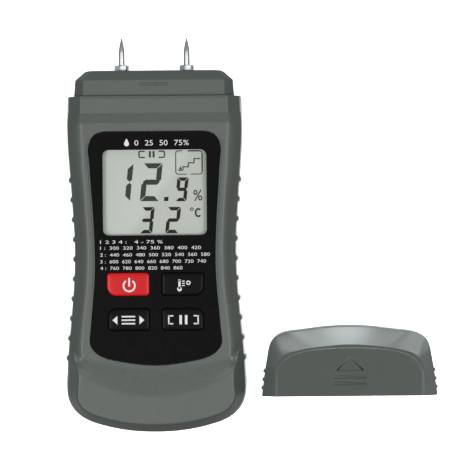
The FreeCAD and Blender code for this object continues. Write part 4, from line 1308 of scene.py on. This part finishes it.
    # back and front centres on the opening's plane
    verts.append([0.0, 0.0, 0.0]); cb = len(verts) - 1
    verts.append([0.0, 0.0, 32.0]); cfr = len(verts) - 1
    for i in range(nu - 1):
        faces.append((int(G[i, 0]), int(G[i + 1, 0]), cb))
        faces.append((int(G[i, -1]), int(G[i + 1, -1]), cfr))
    opening = [int(i) for i in G[0, :]] + [cfr] + [int(i) for i in G[-1, ::-1]] + [cb]
    faces.append(tuple(opening))
    verts = [(x + CAP_X, y + CAP_Y, z) for x, y, z in verts]
    ob = to_object("cap_shell", verts, faces)
    n = 0.3

    def loft_tool(secs):
        t = Bag()
        t.loops([[(x + CAP_X, y + CAP_Y, z) for x, y, z in s] for s in secs])
        return t.object("tool")

    def osec(hw, fw, z0, z1, zb, y):
        return [(x, y, z) for x, z in soft_polygon(oct2(hw, fw, z0, z1, zb), 0.3)]

    def rsec(x, y, z0, z1):
        return [(px, y, pz) for px, pz in soft_polygon([(x, z0), (x, z1), (-x, z1), (-x, z0)], 0.8)]

    pocket = loft_tool([osec(31.3, 27.6, 2.05, 29.95, 4.9, -1.0), osec(31.05, 27.4, 2.30, 29.70, 4.9, 0.35),
                        osec(30.95, 27.35, 2.35, 29.65, 4.9, 7.2), osec(28.0, 25.6, 6.0, 26.0, 3.5, 10.2)])
    room = loft_tool([rsec(28.0, 7.0, 5.6, 26.4), rsec(27.0, 19.4, 6.2, 25.4), rsec(17.0, 24.2, 8.5, 23.5)])
    cut(ob, [pocket, room])
    finish_piece(ob, M["cap"], "cap", ["cap"], 32.0)
    # raised arrow and two bars
    b = Bag()

    def pad(poly, r, z0, z1):
        rings = []
        for g, z in ((-0.06, z0), (-0.06, 32.0), (0.03, 32.03), (0.17, z1 - 0.03), (0.23, z1), (0.35, z1)):
            c = np.mean(np.array(poly), axis=0)
            pts = soft_polygon(poly, r)
            # inset towards the inside along the two edge normals
            ring = []
            m = len(pts)
            for i in range(m):
                p, qn, o = pts[i - 1], pts[(i + 1) % m], pts[i]
                t = qn - p
                t = t / max(np.linalg.norm(t), 1e-9)
                ring.append((o[0] - t[1] * g + CAP_X, o[1] + t[0] * g + CAP_Y, z))
            rings.append(ring)
        b.loops(rings)
    pad([(-5.35, 9.75), (5.35, 9.75), (0.0, 15.3)], 0.25, 31.6, 32.19)
    pad([(-6.5, 6.75), (6.5, 6.75), (6.5, 8.55), (-6.5, 8.55)], 0.25, 31.6, 32.19)
    pad([(-6.5, 4.45), (6.5, 4.45), (6.5, 6.0), (-6.5, 6.0)], 0.25, 31.6, 32.19)
    finish_piece(b.object("cap_raised_arrow"), M["cap"], "cap", ["cap"], 25.0)


make_cap()


# ---------------------------------------------------------------------------
# display contents: liquid crystal segments, just proud of the glass
# ---------------------------------------------------------------------------
Z_SEG = 27.72


def seven(on, x, y, w, h, t, slant=0.105, gap=0.24):
    """seven-segment figure, corners mitred, leaning"""
    g = gap
    m = h / 2
    seg = {
        "a": [(g, h), (w - g, h), (w - t - g * 0.4, h - t), (t + g * 0.4, h - t)],
        "d": [(t + g * 0.4, t), (w - t - g * 0.4, t), (w - g, 0), (g, 0)],
        "g": [(g * 1.6, m), (t * 0.62 + g, m + t / 2), (w - t * 0.62 - g, m + t / 2), (w - g * 1.6, m),
              (w - t * 0.62 - g, m - t / 2), (t * 0.62 + g, m - t / 2)],
        "f": [(0, h - g), (t, h - t - g * 0.6), (t, m + t / 2 + g), (t * 0.45, m + g * 0.9), (0, m + t * 0.35 + g)],
        "e": [(0, m - t * 0.35 - g), (t * 0.45, m - g * 0.9), (t, m - t / 2 - g), (t, t + g * 0.6), (0, g)],
        "b": [(w, h - g), (w, m + t * 0.35 + g), (w - t * 0.45, m + g * 0.9), (w - t, m + t / 2 + g),
              (w - t, h - t - g * 0.6)],
        "c": [(w - t, m - t / 2 - g), (w - t * 0.45, m - g * 0.9), (w, m - t * 0.35 - g), (w, g),
              (w - t, t + g * 0.6)],
    }
    return [[(x + px + (py) * slant, y + py) for px, py in seg[s]] for s in on]


def flat_piece(name, polys, z0, z1, mat, body, texts=()):
    b = Bag()
    for p in polys:
        b.prism(p, z0, z1)
    for pts, fs in texts:
        add_flat(b, pts, fs, z0, z1)
    ob = b.object(name)
    ob["flat_faces"] = True
    return finish_piece(ob, mat, body, (), 30.0)


big = seven("bc", -10.98 - 5.9, 19.27, 7.35, 14.5, 2.0) + seven("abged", -5.75, 19.27, 7.35, 14.5, 1.95)
flat_piece("display_large_figures", big, Z_SEG, Z_SEG + 0.03, M["segment_grey"], "meter")
small = seven("abcdfg", 7.75, 19.15, 4.3, 9.1, 1.3, gap=0.2) + [[(3.5, 19.27), (5.12, 19.27), (5.25, 20.85), (3.63, 20.85)]]
small += seven("abgcd", -5.92, 6.95, 4.8, 10.05, 1.35, gap=0.2) + seven("abged", 3.85, 6.95, 5.1, 10.05, 1.35, gap=0.2)
flat_piece("display_small_figures", small, Z_SEG, Z_SEG + 0.03, M["segment"], "meter")

lines = []
# rounded frame with a staircase in it
bx0, bx1, by0, by1, bw, br = 8.1, 18.2, 29.5, 38.4, 0.36, 1.0
lines += [stroke((bx0 + br, by1), (10.6, by1), bw), stroke((12.7, by1), (bx1 - br, by1), bw * 1.5),
          stroke((bx0 + br, by0), (12.2, by0), bw), stroke((13.9, by0), (bx1 - br, by0), bw),
          stroke((bx0, by0 + br), (bx0, by1 - br), bw), stroke((bx1, by0 + br), (bx1, by1 - br), bw * 1.4)]
for cx, cy, a in ((bx0 + br, by1 - br, 90), (bx1 - br, by1 - br, 0), (bx0 + br, by0 + br, 180), (bx1 - br, by0 + br, 270)):
    lines.append(arc_band(cx, cy, br - bw / 2, br + bw / 2, a, a + 90, 8))
sx = [10.8, 12.9, 12.9, 15.1, 15.1, 17.3]
sy = [32.3, 32.3, 33.8, 33.8, 35.4, 35.4]
w = 0.42
for p, qn in zip(list(zip(sx, sy)), list(zip(sx, sy))[1:]):
    dx, dy = np.sign(qn[0] - p[0]) * w / 2, np.sign(qn[1] - p[1]) * w / 2
    lines.append(stroke((p[0] - dx, p[1] - dy), (qn[0] + dx, qn[1] + dy), w))
# small filled mark at the foot of the stairs
lines += [[(9.0, 30.8), (10.9, 30.8), (10.9, 31.25), (9.0, 31.25)], [(9.35, 31.35), (10.55, 31.35), (9.95, 32.5)]]
lines.append([(10.7, 31.1), (11.05, 31.1), (11.05, 32.48), (10.7, 32.48)])
# degree ring
for a in (0, 180):
    lines.append(arc_band(14.1, 16.1, 0.34, 0.68, a, a + 180, 10))
# pause mark in a rounded frame
hx0, hx1, hy0, hy1 = -5.9, 3.8, 36.0, 38.35
for cx, cy, a in ((hx0 + 0.5, hy1 - 0.5, 90), (hx1 - 0.5, hy1 - 0.5, 0), (hx0 + 0.5, hy0 + 0.5, 180),
                  (hx1 - 0.5, hy0 + 0.5, 270)):
    lines.append(arc_band(cx, cy, 0.24, 0.76, a, a + 90, 6))
lines += [stroke((hx0 - 0.0, hy0 + 0.5), (hx0 - 0.0, hy1 - 0.5), 0.52), stroke((hx1, hy0 + 0.5), (hx1, hy1 - 0.5), 0.52)]
lines += [stroke((hx0 + 0.5, hy1), (hx0 + 2.2, hy1), 0.52), stroke((hx1 - 2.2, hy1), (hx1 - 0.5, hy1), 0.52),
          stroke((hx0 + 0.5, hy0), (hx0 + 2.2, hy0), 0.52), stroke((hx1 - 2.2, hy0), (hx1 - 0.5, hy0), 0.52)]
lines += [stroke((-1.75, hy0 - 0.05), (-1.75, hy1 + 0.05), 0.8), stroke((-0.35, hy0 - 0.05), (-0.35, hy1 + 0.05), 0.8)]
# percent sign and letter C drawn with a heavy stroke
for ex, ey in ((15.55, 22.5), (17.35, 20.35)):
    for a in (0, 180):
        lines.append([(ex + rx * math.cos(math.radians(t)), ey + ry * math.sin(math.radians(t)))
                      for rx, ry, ts in ((0.80, 1.02, range(a, a + 181, 15)), (0.34, 0.52, range(a + 180, a - 1, -15)))
                      for t in ts])
lines.append(stroke((15.3, 19.25), (17.7, 23.55), 0.46))
lines.append([(16.6 + rx * math.cos(math.radians(t)), 14.75 + ry * math.sin(math.radians(t)))
              for rx, ry, ts in ((1.42, 1.76, range(45, 316, 10)), (0.74, 1.06, range(315, 44, -10))) for t in ts])
texts = []
flat_piece("display_marks", lines, Z_SEG, Z_SEG + 0.03, M["segment_grey"], "meter", texts)

# ---------------------------------------------------------------------------
# printed marks on the face film
# ---------------------------------------------------------------------------
ZP = 30.372
rows = [("1 2 3 4 :   4 - 75 %", 3.75, 2.9), ("1 :  300  320  340  360  380  400  420", 1.45, 17.5),
        ("2 :  440  460  480  500  520  540  560  580", -1.15, 20.9), ("3 :  600  620  640  660  680  700  720  740", -3.75, 19.4),
        ("4 :  760  780  800  820  840  860", -6.25, 10.4)]
txt = [text_mesh("t", s, -21.0, y - 0.62, 1.3, x1 + 21.0) for s, y, x1 in rows]
# heading: a drop, then a plain scale
cx = -10.6
head = []
drop = [(cx + 0.95 * math.cos(math.radians(a)), 41.2 + 0.95 * math.sin(math.radians(a))) for a in range(-205, 26, 12)]
drop += [(cx + 0.30, 42.75), (cx, 43.25), (cx - 0.30, 42.75)]
head.append(drop)
txt.append(text_mesh("t", "0", -7.6, 40.55, 2.15, 1.5))
txt.append(text_mesh("t", "25", -3.6, 40.55, 2.15, 3.1))
txt.append(text_mesh("t", "50", 2.0, 40.55, 2.15, 3.1))
txt.append(text_mesh("t", "75", 7.6, 40.55, 2.15, 3.1))
txt.append(text_mesh("t", "%", 11.1, 40.55, 2.15, 2.1))
flat_piece("face_print", head, ZP, ZP + 0.03, M["print_white"], "meter", txt)

ZK = 31.285
# power mark
pc = (-10.0, -12.95)
flat_piece("power_key_print", [arc_band(pc[0], pc[1], 1.84, 2.5, 125, 415, 40), stroke((pc[0], pc[1] + 2.95), (pc[0], pc[1] - 0.35), 0.68)],
           ZK, ZK + 0.04, M["print_white"], "power_key")
# thermometer and degree ring
tx, ty = 9.2, -14.35
th = [arc_band(tx, ty, 0.0001, 0.86, -60, 240, 24)]
th = [[(tx + 0.9 * math.cos(math.radians(a)), ty + 0.9 * math.sin(math.radians(a))) for a in range(0, 360, 15)]]
th += [stroke((tx, ty), (tx, ty + 3.3), 0.85)]
th += [[(tx + 0.425 * math.cos(math.radians(a)), ty + 3.3 + 0.425 * math.sin(math.radians(a))) for a in range(0, 360, 20)]]
for k in range(3):
    th.append(stroke((tx + 0.95, ty + 1.3 + 0.85 * k), (tx + 2.0, ty + 1.3 + 0.85 * k), 0.36))
for a in (0, 180):
    th.append(arc_band(12.6, -12.0, 0.42, 0.86, a, a + 180, 14))
flat_piece("unit_key_print", th, ZK, ZK + 0.04, M["print_white"], "unit_key")
# stepping mark: arrow heads either side of three bars
mc = (-10.4, -26.1)
mk = [[(mc[0] - 6.1, mc[1]), (mc[0] - 4.2, mc[1] + 1.65), (mc[0] - 4.2, mc[1] - 1.65)][::-1],
      [(mc[0] + 6.1, mc[1]), (mc[0] + 4.2, mc[1] - 1.65), (mc[0] + 4.2, mc[1] + 1.65)][::-1]]
for d in (-1.35, 0.0, 1.35):
    mk.append(stroke((mc[0] - 2.6, mc[1] + d), (mc[0] + 2.6, mc[1] + d), 0.56))
flat_piece("mode_key_print", mk, ZK, ZK + 0.04, M["print_white"], "mode_key")
# pause bars in brackets
hc = (10.6, -26.1)
hk = [stroke((hc[0] - 1.05, hc[1] - 1.75), (hc[0] - 1.05, hc[1] + 1.75), 0.95), stroke((hc[0] + 1.05, hc[1] - 1.75), (hc[0] + 1.05, hc[1] + 1.75), 0.95)]
for s in (-1, 1):
    hk.append(stroke((hc[0] + s * 5.6, hc[1] - 1.75), (hc[0] + s * 5.6, hc[1] + 1.75), 0.52))
    for v in (-1, 1):
        a, b_ = sorted((hc[0] + s * 5.6, hc[0] + s * 3.9))
        hk.append(stroke((a, hc[1] + v * 1.5), (b_, hc[1] + v * 1.5), 0.5))
flat_piece("hold_key_print", hk, ZK, ZK + 0.04, M["print_white"], "hold_key")




# ---------------------------------------------------------------------------
# floor, lights, camera
# ---------------------------------------------------------------------------
def stage_and_light():
    sc = bpy.context.scene
    sc.view_settings.view_transform = "Standard"
    sc.view_settings.look = "None"
    sc.view_settings.exposure = 0.0
    sc.view_settings.gamma = 1.0
    me = bpy.data.meshes.new("floor")
    s = 6.0
    me.from_pydata([(-s, -s, -2e-5), (s, -s, -2e-5), (s, s, -2e-5), (-s, s, -2e-5)], [], [(0, 1, 2, 3)])
    fl = bpy.data.objects.new("floor", me)
    sc.collection.objects.link(fl)
    m, nt, b, co = new_mat("pale_floor")
    n = noise(nt, co, 4.0)
    nt.links.new(ramp(nt, n, [(0.3, (0.93, 0.93, 0.93, 1)), (0.7, (0.95, 0.95, 0.95, 1))]), b.inputs["Base Color"])
    b.inputs["Roughness"].default_value = 0.9
    b.inputs["Specular IOR Level"].default_value = 0.1
    me.materials.append(m)
    fl.visible_glossy = False
    fl.visible_diffuse = False
    fl.visible_shadow = False

    w = bpy.data.worlds.new("studio")
    sc.world = w
    w.use_nodes = True
    nt = w.node_tree
    bg = nt.nodes["Background"]
    tc = nt.nodes.new("ShaderNodeTexCoord")
    sp = nt.nodes.new("ShaderNodeSeparateXYZ")
    nt.links.new(tc.outputs["Generated"], sp.inputs["Vector"])
    mr = nt.nodes.new("ShaderNodeMapRange")
    mr.inputs["From Min"].default_value, mr.inputs["From Max"].default_value = -0.12, 0.12
    mr.inputs["To Min"].default_value, mr.inputs["To Max"].default_value = LOW, HIGH
    nt.links.new(sp.outputs["Z"], mr.inputs["Value"])
    # brighter straight below, as a pale table would send back to upright walls
    lowr = nt.nodes.new("ShaderNodeMapRange")
    lowr.inputs["From Min"].default_value, lowr.inputs["From Max"].default_value = -0.79, -0.98
    lowr.inputs["To Min"].default_value, lowr.inputs["To Max"].default_value = 0.0, NADIR
    nt.links.new(sp.outputs["Z"], lowr.inputs["Value"])

    def op(kind, a, b_=None):
        n_ = nt.nodes.new("ShaderNodeMath")
        n_.operation = kind
        for i, v in enumerate((a, b_)):
            if v is None:
                continue
            if isinstance(v, (int, float)):
                n_.inputs[i].default_value = v
            else:
                nt.links.new(v, n_.inputs[i])
        return n_.outputs[0]
    # stronger towards the two sides than towards head and foot
    xx, yy = op("MULTIPLY", sp.outputs["X"], sp.outputs["X"]), op("MULTIPLY", sp.outputs["Y"], sp.outputs["Y"])
    side = op("DIVIDE", xx, op("ADD", op("ADD", xx, yy), 1e-4))
    glow = op("MULTIPLY", lowr.outputs["Result"], op("ADD", op("MULTIPLY", side, 1.7), 0.06))
    # a little more light from the pins' end than from the foot, low down
    lean = nt.nodes.new("ShaderNodeMath")
    lean.operation = "MULTIPLY_ADD"
    lean.inputs[1].default_value = 0.12
    nt.links.new(sp.outputs["Y"], lean.inputs[0])
    nt.links.new(mr.outputs["Result"], lean.inputs[2])
    tot = nt.nodes.new("ShaderNodeMath")
    tot.operation = "ADD"
    nt.links.new(lean.outputs[0], tot.inputs[0])
    nt.links.new(glow, tot.inputs[1])
    nt.links.new(tot.outputs[0], bg.inputs["Strength"])
    bg.inputs["Color"].default_value = (1.0, 1.0, 1.0, 1)
    bg2 = nt.nodes.new("ShaderNodeBackground")
    bg2.inputs["Color"].default_value = (1.0, 1.0, 1.0, 1)
    bg2.inputs["Strength"].default_value = 0.99
    lp = nt.nodes.new("ShaderNodeLightPath")
    mx = nt.nodes.new("ShaderNodeMixShader")
    nt.links.new(lp.outputs["Is Camera Ray"], mx.inputs["Fac"])
    nt.links.new(bg.outputs["Background"], mx.inputs[1])
    nt.links.new(bg2.outputs["Background"], mx.inputs[2])
    nt.links.new(mx.outputs["Shader"], nt.nodes["World Output"].inputs["Surface"])

    def area(name, loc, aim, sx, sy, radiance, color=(1, 1, 1), only=None, shadow=True):
        li = bpy.data.lights.new(name, "AREA")
        li.shape = "RECTANGLE"
        li.size, li.size_y = sx, sy
        li.energy = radiance * math.pi * sx * sy
        li.color = color
        li.use_shadow = shadow
        ob = bpy.data.objects.new(name, li)
        sc.collection.objects.link(ob)
        ob.location = loc
        d = Vector(aim) - Vector(loc)
        ob.rotation_euler = d.to_track_quat("-Z", "Y").to_euler()
        ob.visible_camera = False
        if only:
            col = bpy.data.collections.new(name + "_receives")
            for o in only:
                col.objects.link(o)
            ob.light_linking.receiver_collection = col
        return ob

    # two broad keys, one each side of the camera's axis
    for s in (-1, 1):
        area("key_left" if s < 0 else "key_right", (0.03 + s * 0.72, -0.2, 1.46), (0.03, 0.0, 0.02), 0.5, 0.62, KEY)
    # two small lamps high beyond the pins pick out the creases at the foot of the case
    case_things = [o for o in sc.objects if o.name.startswith("front_case")]
    for s in (-1, 1):
        glint = area("crease_left" if s < 0 else "crease_right", (s * 0.95, 0.79, 0.82), (0.0, -0.04, 0.03), 0.3, 0.3,
                     RIM, only=case_things)
        glint.visible_diffuse = False
    # a dim card to the left for the plated hexagons
    hexes = [o for o in sc.objects if o.name.endswith("_hexagon")]
    area("hexagon_card", (-1.2, 0.1, 0.0), (0.0, 0.07, 0.016), 0.7, 0.7, 1.15, only=hexes, shadow=False)
    # a separate lamp keeps the floor white
    area("floor_wash", (0.03, 0.0, 2.4), (0.03, 0.0, 0.0), 1.6, 1.6, WASH, only=[fl], shadow=False)
    # low card beyond the cap's top end, for the cap only
    cap_things = [o for o in sc.objects if o.name in ("cap_shell", "cap_raised_arrow")]
    area("end_card", (CAP_X * MM + 0.01, 1.25, 0.05), (CAP_X * MM, 0.0, 0.03), 0.30, 0.62, CARD, (0.91, 0.98, 1.0),
         only=cap_things)
    for nm, a, w_, k, z_, h_ in (("left", -31.0, 0.95, 0.39, 0.19, 0.90), ("right", 35.0, 0.95, 0.36, 0.19, 0.90),
                                 ("far_left", -80.0, 1.0, 0.30, 0.05, 0.62), ("far_right", 78.0, 0.8, 0.22, 0.05, 0.62)):
        area("end_card_" + nm,
             (CAP_X * MM + 1.25 * math.sin(math.radians(a)), 1.25 * math.cos(math.radians(a)), z_),
             (CAP_X * MM, 0.0, 0.03), w_, h_, CARD * k, (0.91, 0.98, 1.0), only=cap_things, shadow=False)
    for s_, k in ((-1, SIDE_L), (1, SIDE_R)):
        area("cap_side_left" if s_ < 0 else "cap_side_right", (CAP_X * MM + s_ * 1.2, 0.0, -0.42), (CAP_X * MM, -0.04, 0.02),
             0.7, 0.7, k, only=cap_things, shadow=False)
    # wide dim card beyond the pins, for the sensor head and the case
    head_things = [o for o in sc.objects if o.name.startswith(("sensor_head", "front_case"))]
    area("nose_card", (0.0, 1.2, -0.42), (0.0, 0.06, 0.02), 1.0, 0.8, NOSE, only=head_things)

    cam = bpy.data.cameras.new("camera")
    co_ = bpy.data.objects.new("camera", cam)
    sc.collection.objects.link(co_)
    dist = 2.0
    cam.sensor_width = 36.0
    cam.lens = 36.0 * (dist - 0.016) / 0.1823
    co_.location = (0.0313, 0.0053, dist)
    co_.rotation_euler = (0.0, 0.0, math.radians(-0.47))
    cam.clip_start, cam.clip_end = 0.1, 20.0
    sc.camera = co_


KEY, CARD, LOW, HIGH, NADIR = 13.6, 13.7, 0.30, 0.34, 1.8
SIDE_L, SIDE_R, NOSE, WASH, RIM = 1.15, 0.3, 0.24, 9.0, 44.0
stage_and_light()
